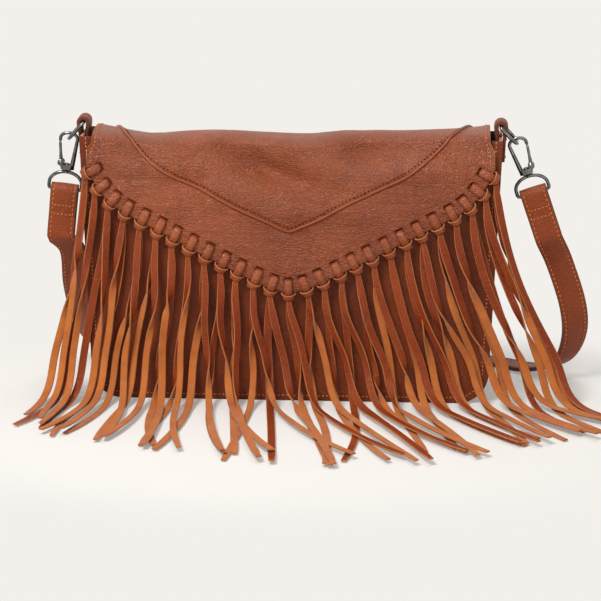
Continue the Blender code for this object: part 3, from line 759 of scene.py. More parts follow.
def flap_seams(mats):
    """The raised V, its row of dark stitches, the side hems' stitches and the row across the back."""
    points, normals = seam_path(0.0003)
    hints = [n.cross(b - a).normalized() for a, b, n in zip(points, points[1:] + points[-1:], normals)]
    hints[-1] = hints[-2]
    points, hints = resample(points, 0.0016, [hints])
    ridge = sweep(points, hints, oval(0.00092, 0.00140, 12))
    piece("flap_v_seam", ridge, [mats["welt"]], "bag", "flap_leather")
    points, normals = seam_path(SEAM_STITCH_LIFT, SEAM_STITCH_INSET)
    piece("flap_v_stitching", seam_stitches(points, normals), [mats["brown_thread"]], "bag", "flap_leather")
    rows = []
    inset = FLAP_HALF_WIDTH - HEM_INSET
    for sign in (-1, 1):
        spots = [(sign * inset, HEM_FROM + (HEM_TO - HEM_FROM) * k / 60) for k in range(61)]
        rows.append(seam_stitches(*on_flap(spots, SEAM_STITCH_LIFT)))
    for t in BACK_ROWS:
        spots = [(lerp(-inset, inset, k / 80), t) for k in range(81)]
        rows.append(seam_stitches(*on_flap(spots, SEAM_STITCH_LIFT)))
    piece("flap_hem_stitching", join(*rows), [mats["tan_thread"]], "bag", "flap_leather")


# Body

def soft_panel(x, z):
    """The slack leather of a body panel, always inward of the plain form."""
    folds = noise.noise(Vector((x * 26, z * 9, 2.2))) + 0.5 * noise.noise(Vector((x * 60, z * 24, 5.0)))
    fine = noise.noise(Vector((x * 240, z * 300, 3.0)))
    edge = smooth((half_width_at(z) - abs(x)) / 0.012) * smooth(z / 0.012)
    return (0.0011 * (folds - 0.8) + 0.00005 * fine) * edge


def body_panel(name, way, mats, replaced):
    """The front (way -1) or back (way 1) panel, slack and dented."""
    rows, columns = 110, 150
    inner, outer = [], []
    for r in range(rows + 1):
        t = r / rows
        share = t - 0.06 * math.sin(math.pi * t) * (1 - 2 * t)
        level = lerp(CLEARANCE, BODY_HEIGHT, share)
        outer_row, inner_row = [], []
        for c in range(columns + 1):
            u = math.sin(math.pi / 2 * (2 * c / columns - 1)) * 0.35 + (2 * c / columns - 1) * 0.65
            z = lerp(CLEARANCE, min(BODY_HEIGHT, top_height(u * half_width_at(level))), share)
            x = u * half_width_at(z)
            face = panel_face(x, z)
            face -= tuck(x, z) - (min(0.0, dent(x, z)) if way < 0 else 0.0)
            outer_row.append(Vector((x, way * (face + soft_panel(x, z)), z)))
            inner_row.append(Vector((x, way * (face - LEATHER), z)))
        outer.append(outer_row)
        inner.append(inner_row)
    piece(name, grid_sheet(inner, outer), [mats["body"], mats["lining"], mats["dark_edge"]],
          "bag", "body_leather", replaced, sharp=60.0)


def outline_path(reach, lift):
    """The U of a panel's seam at a given half depth: down one side, along the bottom and up the other."""
    half = []
    for k in range(31):
        z = lerp(BODY_HEIGHT, CORNER_RADIUS, k / 30)
        half.append((half_width_at(z) + lift, z))
    for k in range(1, 13):
        turn = math.pi / 2 * k / 12
        half.append((BASE_HALF_WIDTH - CORNER_RADIUS + (CORNER_RADIUS + lift) * math.cos(turn),
                     CORNER_RADIUS - (CORNER_RADIUS + lift) * math.sin(turn)))
    path = half + [(-x, z) for x, z in reversed(half)]
    return [Vector((x, reach(z), max(z, 0.0006))) for x, z in path]


def body_piping(mats):
    """The turned seam edge round both panels, with stitches beside it on the faces."""
    for name, way in (("front_seam", -1), ("back_seam", 1)):
        points = outline_path(lambda z: way * (depth_at(z) / 2 + 0.0011), -0.0005)
        points = resample(points, 0.003)
        cord = sweep(points, [Y_AXIS] * len(points), oval(0.0013, 0.0009, 10))
        piece(name, cord, [mats["body"]], "bag", "body_leather")
        row = resample(outline_path(lambda z: 0, -0.0042), 0.003)
        depths = [panel_face(p.x, p.z) + soft_panel(p.x, p.z) - tuck(p.x, p.z) + 0.0001 for p in row]
        on_face = [Vector((p.x, way * depth, p.z)) for p, depth in zip(row, depths)]
        sewn = seam_stitches(on_face, [Vector((0, way, 0))] * len(on_face))
        piece(name + "_stitching", sewn, [mats["orange_thread"]], "bag", "body_leather")


def gusset_fold(z, y):
    """The gusset's side walls sink gently along their middle."""
    middle = 1 - min(1.0, (abs(y) / (depth_at(z) / 2)) ** 2)
    return -0.0022 * middle * smooth(z / 0.05) * smooth((BODY_HEIGHT - z) / 0.03 + 0.25)


def gusset(mats):
    """One U-shaped strip: a side, the flat base and the other side, with a pale line at its bound top."""
    half = []
    for k in range(61):
        z = lerp(BODY_HEIGHT, CORNER_RADIUS, k / 60)
        half.append((half_width_at(z), z, 1.0, 0.0))
    for k in range(1, 13):
        turn = math.pi / 2 * k / 12
        x = BASE_HALF_WIDTH - CORNER_RADIUS * (1 - math.cos(turn))
        half.append((x, CORNER_RADIUS * (1 - math.sin(turn)), math.cos(turn), math.sin(turn)))
    half += [(lerp(half[-1][0], 0, k / 30), 0.0, 0.0, 1.0) for k in range(1, 31)]
    path = half + [(-x, z, -out, down) for x, z, out, down in reversed(half[:-1])]
    outer, inner = [], []
    for x, z, out, down in path:
        reach = depth_at(z) / 2
        outer_row, inner_row = [], []
        for k in range(17):
            y = lerp(-reach, reach, k / 16)
            sink = gusset_fold(z, y) * out
            sink += 0.00025 * noise.noise(Vector((y * 90, z * 60, x * 40))) * out
            outward = x + sink
            outer_row.append(Vector((outward, y, z)))
            inner_row.append(Vector((outward - LEATHER * out, y, z + LEATHER * down)))
        outer.append(outer_row)
        inner.append(inner_row)
    piece("gusset_wall", grid_sheet(inner, outer), [mats["body"], mats["lining"], mats["cut"]],
          "bag", "body_leather", "gusset", sharp=50.0)
    parts = []
    for sign in (-1, 1):
        z = BODY_HEIGHT - 0.0022
        x = sign * (half_width_at(z) + 0.0001)
        points = [Vector((x, y, z)) for y in (-0.0168, -0.008, 0.0, 0.008, 0.0168)]
        points = [p + Vector((sign * gusset_fold(z, p.y), 0, 0)) for p in points]
        parts.append(sweep(catmull(points, 4), [Z_AXIS] * 17, oval(0.0006, 0.0005, 8)))
    piece("gusset_top_line", join(*parts), [mats["cut"]], "bag", "body_leather")


# Lacing and fringe

def lace_section():
    """A lace's section: a crowned front from edge to edge, then a flat back."""
    section = [(-0.5 * LACE_WIDTH, LACE_THICKNESS * 0.10)]
    for k in range(1, 8):
        crown = math.cos(math.pi * (k / 8 - 0.5)) ** 0.45
        section.append((lerp(-0.5, 0.5, k / 8) * LACE_WIDTH, LACE_THICKNESS * (0.10 + 0.62 * crown)))
    section.append((0.5 * LACE_WIDTH, LACE_THICKNESS * 0.10))
    return section + [(share * LACE_WIDTH, -LACE_THICKNESS / 2) for share in (0.47, 0.16, -0.16, -0.47)]


def lace_loop(edge, along, outward, forward):
    """The strip through its hole and round the flap's edge, arched a little over the front."""
    reach = FLAP_THICKNESS / 2 + CLEARANCE + LACE_THICKNESS / 2 + 0.0004
    low, high = 0.0018, -HOLE_INSET
    ring = [(low, reach - 0.0006), (low + 0.0005, 0), (low, 0.0006 - reach), (low - 0.0020, -reach),
            (high / 2, -reach), (high + 0.0010, -reach), (high - 0.0004, -0.0008), (high - 0.0002, 0.0006),
            (high + 0.0006, reach + 0.0004), (high * 0.55, reach + 0.0008), (low - 0.0030, reach + 0.0008)]
    points = [edge + outward * a + forward * b for a, b in ring]
    wrapped = points[-1:] + points + points[:1]
    curve = catmull(wrapped, 5)[5:-6]
    lean = LUCK.uniform(-0.10, 0.10)
    hints = [along + outward * lean] * len(curve)
    return sweep(curve, hints, lace_section(), True, [0] * 8 + [2] + [1] * 3 + [2])


def lace_collar(center, along, outward, forward):
    """The cup-like band round the strands: a pale rim that dips at the front, and a body that tapers down."""
    profile = ((-0.10, 0.86, 1), (-0.46, 1.04, 1), (-0.56, 1.12, 2), (-0.56, 1.22, 2), (-0.46, 1.24, 0),
               (-0.20, 1.12, 0), (0.20, 0.98, 0), (0.46, 0.88, 0), (0.52, 0.78, 1), (0.40, 0.70, 1),
               (0.0, 0.74, 1))
    turns = [2 * math.pi * k / 22 for k in range(22)]
    rings = []
    for share, size, _ in profile:
        ring = []
        for a in turns:
            dip = 0.0017 * math.sin(a) * smooth(0.6 - share)
            ring.append(center + outward * (COLLAR_LENGTH * share + dip)
                        + along * math.cos(a) * COLLAR_HALF_WIDTH * size
                        + forward * (math.sin(a) * COLLAR_HALF_DEPTH * size + 0.0003))
        rings.append(ring)
    return loft(rings, True, row_marks=[mark for _, _, mark in profile])


def strand_route(start, offset, floor_height, sway, heading, length):
    """A strand's middle line, with the across direction at each point."""
    drop = start.z - floor_height - STRAND_BEND
    away = Vector((math.sin(heading), -math.cos(heading), 0))
    side = Vector((math.cos(heading), math.sin(heading), 0))
    wave, phase = LUCK.uniform(0.0008, 0.0030), LUCK.uniform(0, 2 * math.pi)
    swell, beats = LUCK.uniform(0.0, 0.0022), LUCK.uniform(0.8, 1.6)
    points, hints = [], []
    for k in range(25):
        share = k / 24
        z = start.z - drop * share
        wander = wave * math.sin(phase + beats * math.pi * share) * math.sin(math.pi * share)
        x = start.x + sway * share ** 1.5 + wander
        settle = smooth(share / 0.12)
        body_y = -(panel_face(x, z) + offset + swell * math.sin(math.pi * share) ** 2)
        points.append(Vector((x, lerp(start.y, body_y, settle), z)))
        hints.append(X_AXIS)
    foot = points[-1]
    for k in range(1, 11):
        turn = math.pi / 2 * k / 10
        fall = Vector((0, 0, -STRAND_BEND * math.sin(turn)))
        points.append(foot + fall + away * STRAND_BEND * (1 - math.cos(turn)))
        hints.append(X_AXIS.lerp(side, k / 10).normalized())
    run = max(0.012, length - drop - STRAND_BEND * math.pi / 2)
    curl = LUCK.uniform(-0.35, 0.35)
    tip = LUCK.uniform(0.0, 0.0022) if LUCK.random() < 0.5 else 0.0
    here = points[-1]
    for k in range(1, 15):
        share = k / 14
        bend = Matrix.Rotation(curl * share, 3, "Z")
        here = here + bend @ away * run / 14
        lift = tip * max(0.0, share - 0.6) ** 2 / 0.16
        points.append(here + Z_AXIS * lift)
        hints.append(bend @ side)
    return points, hints


def strand(number, center, forward, spread, layer):
    """One of a strip's two strands: it hangs, twists, and lies on the floor with either face up."""
    side = 2 * layer - 1
    offset = (BACK_LAYER_OFFSET, FRONT_LAYER_OFFSET)[layer]
    flow = (1 + spread) / 2
    sway = lerp(SWAY_LEFT, SWAY_RIGHT, flow ** 1.3) + END_SPREAD * spread ** 7 + side * SWAY_SPLIT
    sway += LUCK.uniform(-0.004, 0.004)
    heading = lerp(HEADING_LEFT, HEADING_RIGHT, flow) + side * HEADING_SPLIT + LUCK.uniform(-7, 7)
    floor_height = FLOOR_GAP + LACE_THICKNESS / 2 + STRAND_LIFT * layer + CROSSING_STEP * (number * 3 % 7)
    start = center + forward * STRAND_SPLIT * side
    length = STRAND_LENGTH + LUCK.uniform(-0.010, 0.006)
    points, hints = strand_route(start, offset, floor_height, sway, math.radians(heading), length)
    points, hints = resample(points, STRAND_SPACING, [hints])
    for _ in range(STRAND_EASINGS):
        eased = [(a + b * 2 + c) / 4 for a, b, c in zip(points, points[1:], points[2:])]
        points = points[:1] + eased + points[-1:]
    turns = LUCK.choice((0, 1, -1, 1, -1))
    begin = LUCK.uniform(0.0, 0.34)
    end = begin + LUCK.uniform(0.14, 0.34)
    lean = math.radians(LUCK.uniform(-40, 40))
    twisted = []
    for k, (_, across, normal) in enumerate(frames(points, hints)):
        share = k / (len(points) - 1)
        angle = turns * math.pi * smooth((share - begin) / (end - begin))
        angle += lean * math.sin(math.pi * min(1.0, share / 0.6)) * smooth(share / 0.08)
        twisted.append(across * math.cos(angle) + normal * math.sin(angle))

    broad = STRAND_WIDTH * LUCK.uniform(0.84, 1.06)

    def section(share):
        width = broad * (1 - 0.25 * smooth((share - 0.93) / 0.07)) * (0.66 + 0.34 * smooth(share / 0.09))
        return strip_section(width, STRAND_THICKNESS, 4)

    return sweep(points, twisted, section, False, strip_marks(4))


def fringe(mats):
    """The 27 laced strips: each its loop, its collar and its two strands."""
    looks = [mats["strand"], mats["suede"], mats["strand_edge"]]
    for number, (x, (edge, along, outward, forward)) in enumerate(zip(hitch_places(), HITCHES), 1):
        center = edge + outward * (COLLAR_DROP + COLLAR_LENGTH / 2)
        name = f"fringe_{number:02d}"
        knot = join(lace_loop(edge, along, outward, forward), lace_collar(center, along, outward, forward))
        piece(f"lace_{number:02d}", knot, [mats["lace"], mats["suede"], mats["cut"]], "bag", "fringe_leather")
        pair = join(*[strand(number, center, forward, x / FLAP_HALF_WIDTH, layer) for layer in (0, 1)])
        piece(f"strands_{number:02d}", pair, looks, "bag", "fringe_leather", name)


# Tabs, rings and clasps

def ring_axis(sign):
    """The middle of a side ring's bar."""
    x = sign * (TOP_HALF_WIDTH - LEATHER / 2)
    return Vector((x, 0, BODY_HEIGHT + RING_HEIGHT + RING_WIRE))


def lean_directions(sign, degrees):
    """Down and outward for a part that leans away from the body's side."""
    side_slope = math.atan2(TOP_HALF_WIDTH - BASE_HALF_WIDTH, BODY_HEIGHT - CORNER_RADIUS)
    lean = math.radians(degrees) - side_slope
    down = Vector((sign * math.sin(lean), 0, -math.cos(lean)))
    out = Vector((sign * math.cos(lean), 0, math.sin(lean)))
    return down, out


def clasp_frame(side):
    """The clasp's base point, with its up and outward directions."""
    sign, ring_lean, clasp_lean, slack = SIDES[side]
    ring_down, _ = lean_directions(sign, ring_lean)
    down, out = lean_directions(sign, clasp_lean)
    eye = ring_axis(sign) + ring_down * RING_DROP
    eye_height = HOOK_STRAIGHT + HOOK_CROWN - HOOK_WIRE - RING_WIRE - slack
    return eye + down * eye_height, -down, out


def strap_ring_frame(side):
    """The strap ring's bar, with the clasp's up and outward directions."""
    base, up, out = clasp_frame(side)
    return base - up * (BLOCK_HEIGHT / 2 + CLEARANCE + RING_WIRE + STRAP_RING_DROP), up, out


def tab(side, sign, mats):
    """The leather strip folded over the ring's bar, with a stitch row across each leg."""
    top = ring_axis(sign)
    leg = LEATHER / 2 + CLEARANCE * 1.5 + TAB_THICKNESS / 2
    arch = RING_WIRE + RING_GAP + (TAB_THICKNESS + TAB_PLUMP) / 2
    low = BODY_HEIGHT - TAB_LEG
    taper = TOP_HALF_WIDTH - half_width_at(low)
    profile = [(-leg - taper, low), (-leg, BODY_HEIGHT), (-arch, top.z - 0.001)]
    turns = [math.pi * k / 14 for k in range(1, 14)]
    profile += [(-arch * math.cos(a), top.z + arch * math.sin(a)) for a in turns]
    profile += [(arch, top.z - 0.001), (leg, BODY_HEIGHT), (leg - taper, low)]
    points = [Vector((top.x + sign * a, 0, z)) for a, z in profile]

    def section(share):
        full = smooth((0.5 - abs(share - 0.5) - 0.26) / 0.12)
        return strip_section(TAB_WIDTH, TAB_THICKNESS + TAB_PLUMP * full, 8, 0.0002)

    strip = sweep(resample(points, 0.0012), [Y_AXIS] * 200, section, False, strip_marks(8))
    piece(f"tab_strip_{side}", strip, [mats["tab"], mats["tab"], mats["dark_edge"]], "bag", "flap_leather",
          f"tab_{side}")
    x = top.x + sign * (leg + TAB_THICKNESS / 2 + 0.0002)
    rows = []
    for z in (BODY_HEIGHT - 0.0020, low + 0.0026):
        shift = lerp(-taper, 0, (z - low) / TAB_LEG) * sign
        row = [Vector((x + shift, y, z)) for y in (-0.0052, 0.0, 0.0052)]
        rows.append(seam_stitches(row, [Vector((sign, 0, 0))] * 3))
    piece(f"tab_stitching_{side}", join(*rows), [mats["orange_thread"]], "bag", "flap_leather")


def d_ring_points(center, across, down, half_width, drop):
    """A closed D: a straight bar, two sides and a round end, with rounded corners."""
    corner = RING_CORNER
    local = [(-half_width + corner, 0), (0, 0), (half_width - corner, 0)]
    local += [(half_width - 0.3 * corner, 0.3 * corner), (half_width, corner)]
    round_top = drop - half_width * 0.72
    local += [(half_width, lerp(corner, round_top, share)) for share in (0.35, 0.7)]
    local += [(half_width * math.cos(a), round_top + half_width * 0.72 * math.sin(a))
              for a in [math.pi * k / 18 for k in range(19)]]
    local += [(-half_width, lerp(round_top, corner, share)) for share in (0.3, 0.65)]
    local += [(-half_width, corner), (-half_width + 0.3 * corner, 0.3 * corner)]
    return [center + across * a + down * b for a, b in local]


def bag_ring(side, sign, lean, mats):
    """A side ring, hung by its bar in its tab."""
    down, out = lean_directions(sign, lean)
    half = TAB_WIDTH / 2 + RING_CORNER + RING_WIRE + CLEARANCE
    points = d_ring_points(ring_axis(sign), Y_AXIS, down, half, RING_DROP)
    wire = sweep(points, [out] * len(points), oval(RING_WIRE, RING_WIRE, 14), True)
    piece(f"ring_wire_{side}", wire, [mats["metal"]], f"ring_{side}", "dark_metal", f"bag_ring_{side}")


def turned(center, axis, across, profile, sides=24):
    """A solid of revolution from (height, radius) pairs."""
    side = axis.cross(across)
    turns = [2 * math.pi * k / sides for k in range(sides)]
    around = [across * math.cos(a) + side * math.sin(a) for a in turns]
    return loft([[center + axis * height + way * radius for way in around] for height, radius in profile])


def hook(side, mats):
    """The clasp's hook: a broad arm that thins round the eye, and the riveted shoulder of the gate."""
    base, up, out = clasp_frame(side)
    local = [(-HOOK_FOOT, -BLOCK_HEIGHT / 2 + 0.0004)]
    local += [(-lerp(HOOK_FOOT, HOOK_HALF_WIDTH, share), HOOK_STRAIGHT * share)
              for share in (0.0, 0.12, 0.24, 0.36, 0.48, 0.6, 0.72, 0.84)]
    local += [(-HOOK_HALF_WIDTH * math.cos(a), HOOK_STRAIGHT + HOOK_CROWN * math.sin(a))
              for a in [math.pi * k / 16 for k in range(17)]]
    local += [(HOOK_HALF_WIDTH, HOOK_STRAIGHT - HOOK_NOSE * share) for share in (0.5, 1.0)]
    points = [base + out * a + up * b for a, b in local]

    def section(share):
        broad = 1 - smooth(share / 0.42)
        end = 1 - 0.25 * smooth((share - 0.96) / 0.04)
        return oval((HOOK_WIRE + 0.0010 * broad) * end, (HOOK_WIRE + 0.0005 * broad) * end, 16)

    arm = sweep(points, [Y_AXIS] * len(points), section)
    plate = []
    for height, half_width, half_depth in ((-0.0018, 0.0034, 0.0026), (-0.0014, 0.0040, 0.0031),
                                           (0.0006, 0.0046, 0.0033), (0.0020, 0.0052, 0.0032)):
        outline = rounded_box(half_width, half_depth)
        plate.append([base + up * height + out * a + Y_AXIS * b for a, b in outline])
    shoulder = loft(plate)
    cheeks = []
    for y in (-0.0024, 0.0024):
        center = base + out * PIN_OFFSET + up * PIN_RISE + Y_AXIS * y
        cheeks.append(turned(center, Y_AXIS, up, ((-0.0009, 0.0), (-0.0009, 0.0019), (-0.0006, 0.0023),
                                                  (0.0006, 0.0023), (0.0009, 0.0019), (0.0009, 0.0))))
    piece(f"hook_body_{side}", join(arm, shoulder, *cheeks), [mats["metal"]], f"clasp_{side}", "dark_metal",
          f"hook_{side}", sharp=35.0)
    pin = turned(base + out * PIN_OFFSET + up * PIN_RISE, Y_AXIS, up,
                 ((-0.0037, 0.0), (-0.0036, 0.0008), (-0.0033, 0.0012), (0.0033, 0.0012), (0.0036, 0.0008),
                  (0.0037, 0.0)))
    piece(f"gate_rivet_{side}", pin, [mats["metal"]], f"clasp_{side}", "dark_metal", f"gate_pin_{side}")


def rounded_box(half_a, half_b, steps=5, power=4.0):
    """A superellipse outline."""
    outline = []
    for k in range(4 * steps):
        turn = 2 * math.pi * (k + 0.5) / (4 * steps)
        c, s = math.cos(turn), math.sin(turn)
        outline.append((math.copysign(abs(c) ** (2 / power), c) * half_a,
                        math.copysign(abs(s) ** (2 / power), s) * half_b))
    return outline


def gate(side, mats):
    """The sprung lever: a rounded bar with a thumb swell, ending under the hook's nose."""
    base, up, out = clasp_frame(side)
    foot = base + out * PIN_OFFSET + up * PIN_RISE
    tip = base + out * HOOK_HALF_WIDTH + up * (HOOK_STRAIGHT - HOOK_NOSE - CLEARANCE)
    way = (tip - foot).normalized()
    start = foot - way * GATE_HEEL
    points = [start.lerp(tip, k / 14) for k in range(15)]

    def section(share):
        swell = math.exp(-((share - 0.28) / 0.14) ** 2)
        ends = smooth(share / 0.05) * smooth((1 - share) / 0.05)
        return rounded_box((GATE_HALF_DEPTH - 0.0002) * (0.7 + 0.3 * ends),
                           (GATE_HALF_WIDTH * 0.9 + 0.0003 * swell) * (0.7 + 0.3 * ends), 4, 3.0)

    bar = sweep(points, [Y_AXIS] * len(points), section)
    piece(f"gate_lever_{side}", bar, [mats["metal"]], f"lever_{side}", "dark_metal", f"gate_{side}")


def strap_ring(side, mats):
    """The swivelling D-ring with its headed post and collar."""
    base, up, out = clasp_frame(side)
    bar, _, _ = strap_ring_frame(side)
    half = STRAP_WIDTH / 2 + RING_WIRE + 0.0007
    points = d_ring_points(bar, out, up, half, STRAP_RING_DROP)
    wire = sweep(points, [Y_AXIS] * len(points), oval(RING_WIRE, RING_WIRE, 14), True)
    low = STRAP_RING_DROP
    high = (base - bar).length + BLOCK_HEIGHT / 2 + CLEARANCE
    profile = ((low - 0.0006, 0.0), (low - 0.0006, 0.0017), (low + 0.0006, 0.0021), (low + 0.0012, 0.0015),
               (low + 0.0014, POST_RADIUS), (high, POST_RADIUS), (high, POST_HEAD_RADIUS),
               (high + 0.0008, POST_HEAD_RADIUS * 0.9), (high + POST_HEAD_HEIGHT, 0.0008),
               (high + POST_HEAD_HEIGHT, 0.0))
    post = turned(bar, up, out, profile)
    piece(f"swivel_ring_{side}", join(wire, post), [mats["metal"]], "bag", "dark_metal", f"strap_ring_{side}",
          sharp=35.0)


# Strap

def strap_end(side, facing):
    """The strap's fold over a ring's bar, from the cut end behind to the front of the fold."""
    bar, up, out = strap_ring_frame(side)
    wrap = RING_WIRE + CLEARANCE + STRAP_THICKNESS / 2
    together = STRAP_THICKNESS / 2 + CLEARANCE
    leg = [(-STRAP_FOLD, -together), (-STRAP_MEET, -together), (-STRAP_MEET / 2, -wrap * 0.85), (0.0, -wrap)]
    turns = [math.radians(a) for a in (22, 45, 68, 90, 112, 135, 158)]
    local = leg + [(wrap * math.sin(a), -wrap * math.cos(a)) for a in turns]
    local += [(a, -b) for a, b in reversed(leg)]
    points = [bar + up * a + facing * b for a, b in local]
    return points, [out] * len(points)


def strap_route():
    """The strap's middle line and across directions, from one cut end to the other."""
    front = Vector((0, -1, 0))
    right, right_hints = strap_end("right", front)
    left, left_hints = strap_end("left", front)
    floor = STRAP_THICKNESS / 2 + CLEARANCE
    places = [(1, 0.76, -0.30, 0.92), (1, 0.95, -0.24, 0.60), (1, 0.99, -0.14, 0.35), (1, 0.86, 0.0, 0.14),
              (1, 0.52, 0.24, 0.04), (1, 0.08, 0.52, 0.0), (0.56, 0, 0.88, 0.0), (0, 0, 1.0, 0.0),
              (-0.56, 0, 0.97, 0.0), (-1, -0.06, 0.80, 0.0), (-1, 0.16, 0.52, 0.12), (-1, 0.24, 0.20, 0.35),
              (-1, 0.25, -0.12, 0.66), (-1, 0.22, -0.33, 0.96)]
    lies = [(0.95, 0.05, 0.2), (0.93, 0.15, 0.2), (0.85, 0.40, 0.1), (0.70, 0.68, 0), (0.60, 0.80, 0),
            (0.50, 0.86, 0), (0.25, 0.97, 0), (0, 1, 0), (-0.25, 0.97, 0), (-0.55, 0.83, 0), (-0.75, 0.62, 0),
            (-0.88, 0.45, 0), (-0.95, 0.25, 0), (-0.99, 0.08, 0)]
    middle = [right[-1]]
    for side, beside, behind, rise in places:
        z = max(floor, rise * STRAP_RISE)
        side_x = lerp(BASE_HALF_WIDTH, TOP_HALF_WIDTH, z / BODY_HEIGHT)
        middle.append(Vector((side * (side_x + beside * STRAP_SIDE_ROOM),
                              BASE_DEPTH / 2 + behind * STRAP_BACK_ROOM, z)))
    middle.append(left[-1])
    hints = [right_hints[-1]] + [Vector(lie).normalized() for lie in lies] + [left_hints[-1]]
    curve = [Vector((p.x, p.y, max(p.z, floor))) for p in catmull(middle, 10)]
    curve_hints = catmull(hints, 10)
    points = right[:-1] + curve + left[-2::-1]
    directions = right_hints[:-1] + curve_hints + left_hints[-2::-1]
    return resample(points, 0.0022, [directions])


def strap_section():
    """A padded strip: a slightly crowned face between two sewn grooves, and square painted edges."""
    half, t = STRAP_WIDTH / 2, STRAP_THICKNESS / 2
    shape = [(0.0, 0.0), (0.35, -0.02), (0.58, -0.05), (0.70, -0.12), (0.76, -0.22), (0.82, -0.12),
             (0.94, -0.08)]
    right = [(u * half, t * (1 + dip)) for u, dip in shape]
    top = [(-a, b) for a, b in reversed(right[1:])] + right
    bottom = [(a, -b) for a, b in reversed(top)]
    return top + [(half, t * 0.7), (half, -t * 0.7)] + bottom + [(-half, -t * 0.7), (-half, t * 0.7)]


def strap(mats):
    """The whole strap with its four long seams and the short rows at its ends."""
    points, hints = strap_route()
    section = strap_section()
    marks = [0] * 12 + [2] * 3 + [1] * 12 + [2] * 3
    piece("strap_band", sweep(points, hints, section, False, marks),
          [mats["strap"], mats["strap"], mats["dark_edge"]], "bag", "strap_leather", "strap")
    directions = frames(points, hints)
    rows = []
    for face in (1, -1):
        for edge in (-STRAP_SEAM, STRAP_SEAM):
            row = [p + across * edge * STRAP_WIDTH / 2 + normal * face * STRAP_THICKNESS * 0.44
                   for p, (_, across, normal) in zip(points, directions)]
            normals = [normal * face for _, _, normal in directions]
            rows.append(seam_stitches(row[1:-1], normals[1:-1], STRAP_PITCH, 0.62))
    for way in (1, -1):
        for below in STRAP_CROSS_ROWS:
            rows.append(cross_row(points, directions, way, below))
    piece("strap_stitching", join(*rows), [mats["orange_thread"]], "bag", "strap_leather")


def cross_row(points, directions, way, below):
    """A row of stitches across the strap, through both layers of its folded end."""
    reach = STRAP_FOLD + math.pi * (RING_WIRE + CLEARANCE + STRAP_THICKNESS / 2) + below
    spacing = (points[1] - points[0]).length
    index = round(reach / spacing)
    index = index if way > 0 else len(points) - 1 - index
    _, across, normal = directions[index]
    front = 1 if normal.y < 0 else -1
    center = points[index] + normal * STRAP_THICKNESS * 0.5 * front
    row = [center + across * a * STRAP_WIDTH / 2 for a in (-0.72, 0.0, 0.72)]
    return seam_stitches(row, [normal * front] * 3)


# The studio

def camera():
    """The photograph's view."""
    data = bpy.data.cameras.new("camera")
    obj = bpy.data.objects.new("camera", data)
    bpy.context.collection.objects.link(obj)
    a, e = math.radians(CAMERA_AZIMUTH), math.radians(CAMERA_ELEVATION)
    back = Vector((math.sin(a) * math.cos(e), -math.cos(a) * math.cos(e), math.sin(e)))
    obj.location = CAMERA_TARGET + back * CAMERA_DISTANCE
    obj.rotation_mode = "QUATERNION"
    obj.rotation_quaternion = (-back).to_track_quat("-Z", "Y")
    data.sensor_width = 36.0
    data.lens = data.sensor_width * CAMERA_DISTANCE * PIXELS_PER_METRE / FRAME_PIXELS
    bpy.context.scene.camera = obj


def area_light(name, place, target, size, watts):
    """A square light that faces its target."""
    data = bpy.data.lights.new(name, "AREA")
    data.size = size
    data.energy = watts
    obj = bpy.data.objects.new(name, data)
    bpy.context.collection.objects.link(obj)
    obj.location = place
    obj.rotation_mode = "QUATERNION"
    obj.rotation_quaternion = (Vector(target) - Vector(place)).to_track_quat("-Z", "Y")


def lights():
    """Three soft lights, and a world that shows the backdrop and lights the bag faintly."""
    area_light("key", (-0.62, -1.05, 1.70), (0, 0, 0.1), 0.6, 36)
    area_light("front", (0.5, -1.9, 0.35), (0, 0, 0.1), 1.2, 7)
    area_light("top", (0.1, 0.5, 1.7), (0, 0, 0.1), 0.9, 7)
    world = bpy.data.worlds.new("studio")
    bpy.context.scene.world = world
    world.use_nodes = True
    nodes, links = world.node_tree.nodes, world.node_tree.links
    plain = nodes["Background"]
    plain.inputs["Color"].default_value = (1.0, 0.98, 0.96, 1)
    plain.inputs["Strength"].default_value = 0.20
    seen = nodes.new("ShaderNodeBackground")
    seen.inputs["Color"].default_value = (*BACKDROP, 1)
    rays = nodes.new("ShaderNodeLightPath")
    share = rays.outputs["Is Camera Ray"]
    for other in ("Is Glossy Ray", "Is Transmission Ray"):
        either = nodes.new("ShaderNodeMath")
        either.operation = "MAXIMUM"
        links.new(share, either.inputs[0])
        links.new(rays.outputs[other], either.inputs[1])
        share = either.outputs[0]
    chosen = nodes.new("ShaderNodeMixShader")
    links.new(share, chosen.inputs[0])
    links.new(plain.outputs[0], chosen.inputs[1])
    links.new(seen.outputs[0], chosen.inputs[2])
    links.new(chosen.outputs[0], nodes["World Output"].inputs["Surface"])


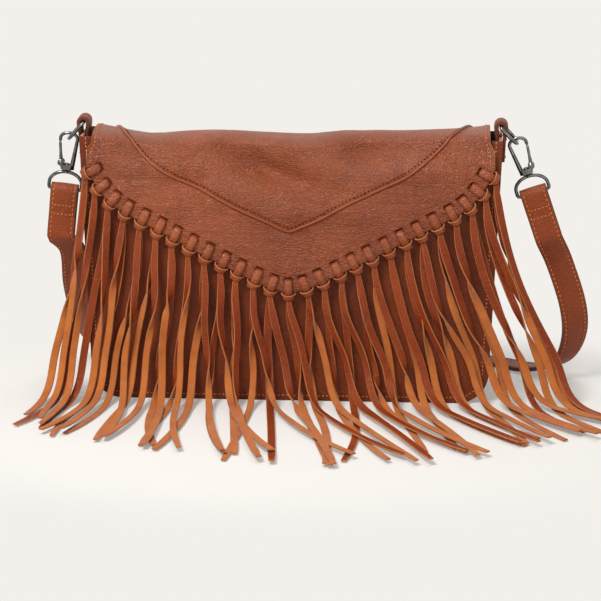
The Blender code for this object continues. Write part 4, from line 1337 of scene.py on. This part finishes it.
def floor():
    """A pale floor that keeps its shadows near the bag and runs into the backdrop's colour further off."""
    mesh = bpy.data.meshes.new("floor")
    mesh.from_pydata([(-6, -6, 0), (6, -6, 0), (6, 6, 0), (-6, 6, 0)], [], [(0, 1, 2, 3)])
    obj = bpy.data.objects.new("floor", mesh)
    bpy.context.collection.objects.link(obj)
    g = Graph("floor")
    speck = g.noise(30.0, 3.0)
    g.finish(g.blend(speck, (0.84, 0.815, 0.775), (0.86, 0.835, 0.795)), 0.9)
    glow = g.node("Emission", {"Color": (*BACKDROP, 1), "Strength": 1.0})
    place = {"Vector": g.place, "Location": (0, FLOOR_SHIFT, 0), "Scale": (1, FLOOR_STRETCH, 1)}
    shifted = g.node("Mapping", place).outputs["Vector"]
    away = g.node("VectorMath", {"Vector": shifted}, operation="LENGTH").outputs["Value"]
    inputs = {"Value": away, "From Min": FLOOR_NEAR, "From Max": FLOOR_FAR, "To Min": FLOOR_GLOW}
    share = g.node("MapRange", inputs, interpolation_type="SMOOTHSTEP").outputs["Result"]
    rays = g.node("LightPath")
    seen = g.math("MAXIMUM", rays.outputs["Is Camera Ray"], rays.outputs["Is Glossy Ray"])
    seen = g.math("MAXIMUM", seen, rays.outputs["Is Transmission Ray"])
    mixed = g.node("MixShader")
    g.feed(mixed.inputs[0], g.math("MULTIPLY", share, seen))
    g.feed(mixed.inputs[1], g.shader.outputs[0])
    g.feed(mixed.inputs[2], glow.outputs[0])
    g.feed(g.tree.nodes["Material Output"].inputs["Surface"], mixed.outputs[0])
    mesh.materials.append(g.material)


def build():
    bpy.context.scene.view_settings.view_transform = "Standard"
    camera()
    lights()
    floor()
    mats = make_materials()
    body_panel("front_leather", -1, mats, "front_panel")
    body_panel("back_leather", 1, mats, "back_panel")
    gusset(mats)
    body_piping(mats)
    flap(mats)
    flap_seams(mats)
    fringe(mats)
    for side, (sign, ring_lean, _, _) in SIDES.items():
        tab(side, sign, mats)
        bag_ring(side, sign, ring_lean, mats)
        hook(side, mats)
        gate(side, mats)
        strap_ring(side, mats)
    strap(mats)
    for name in ("snap_body_half", "snap_flap_half"):
        bpy.data.objects[name].material_slots[0].material = mats["metal"]


build()
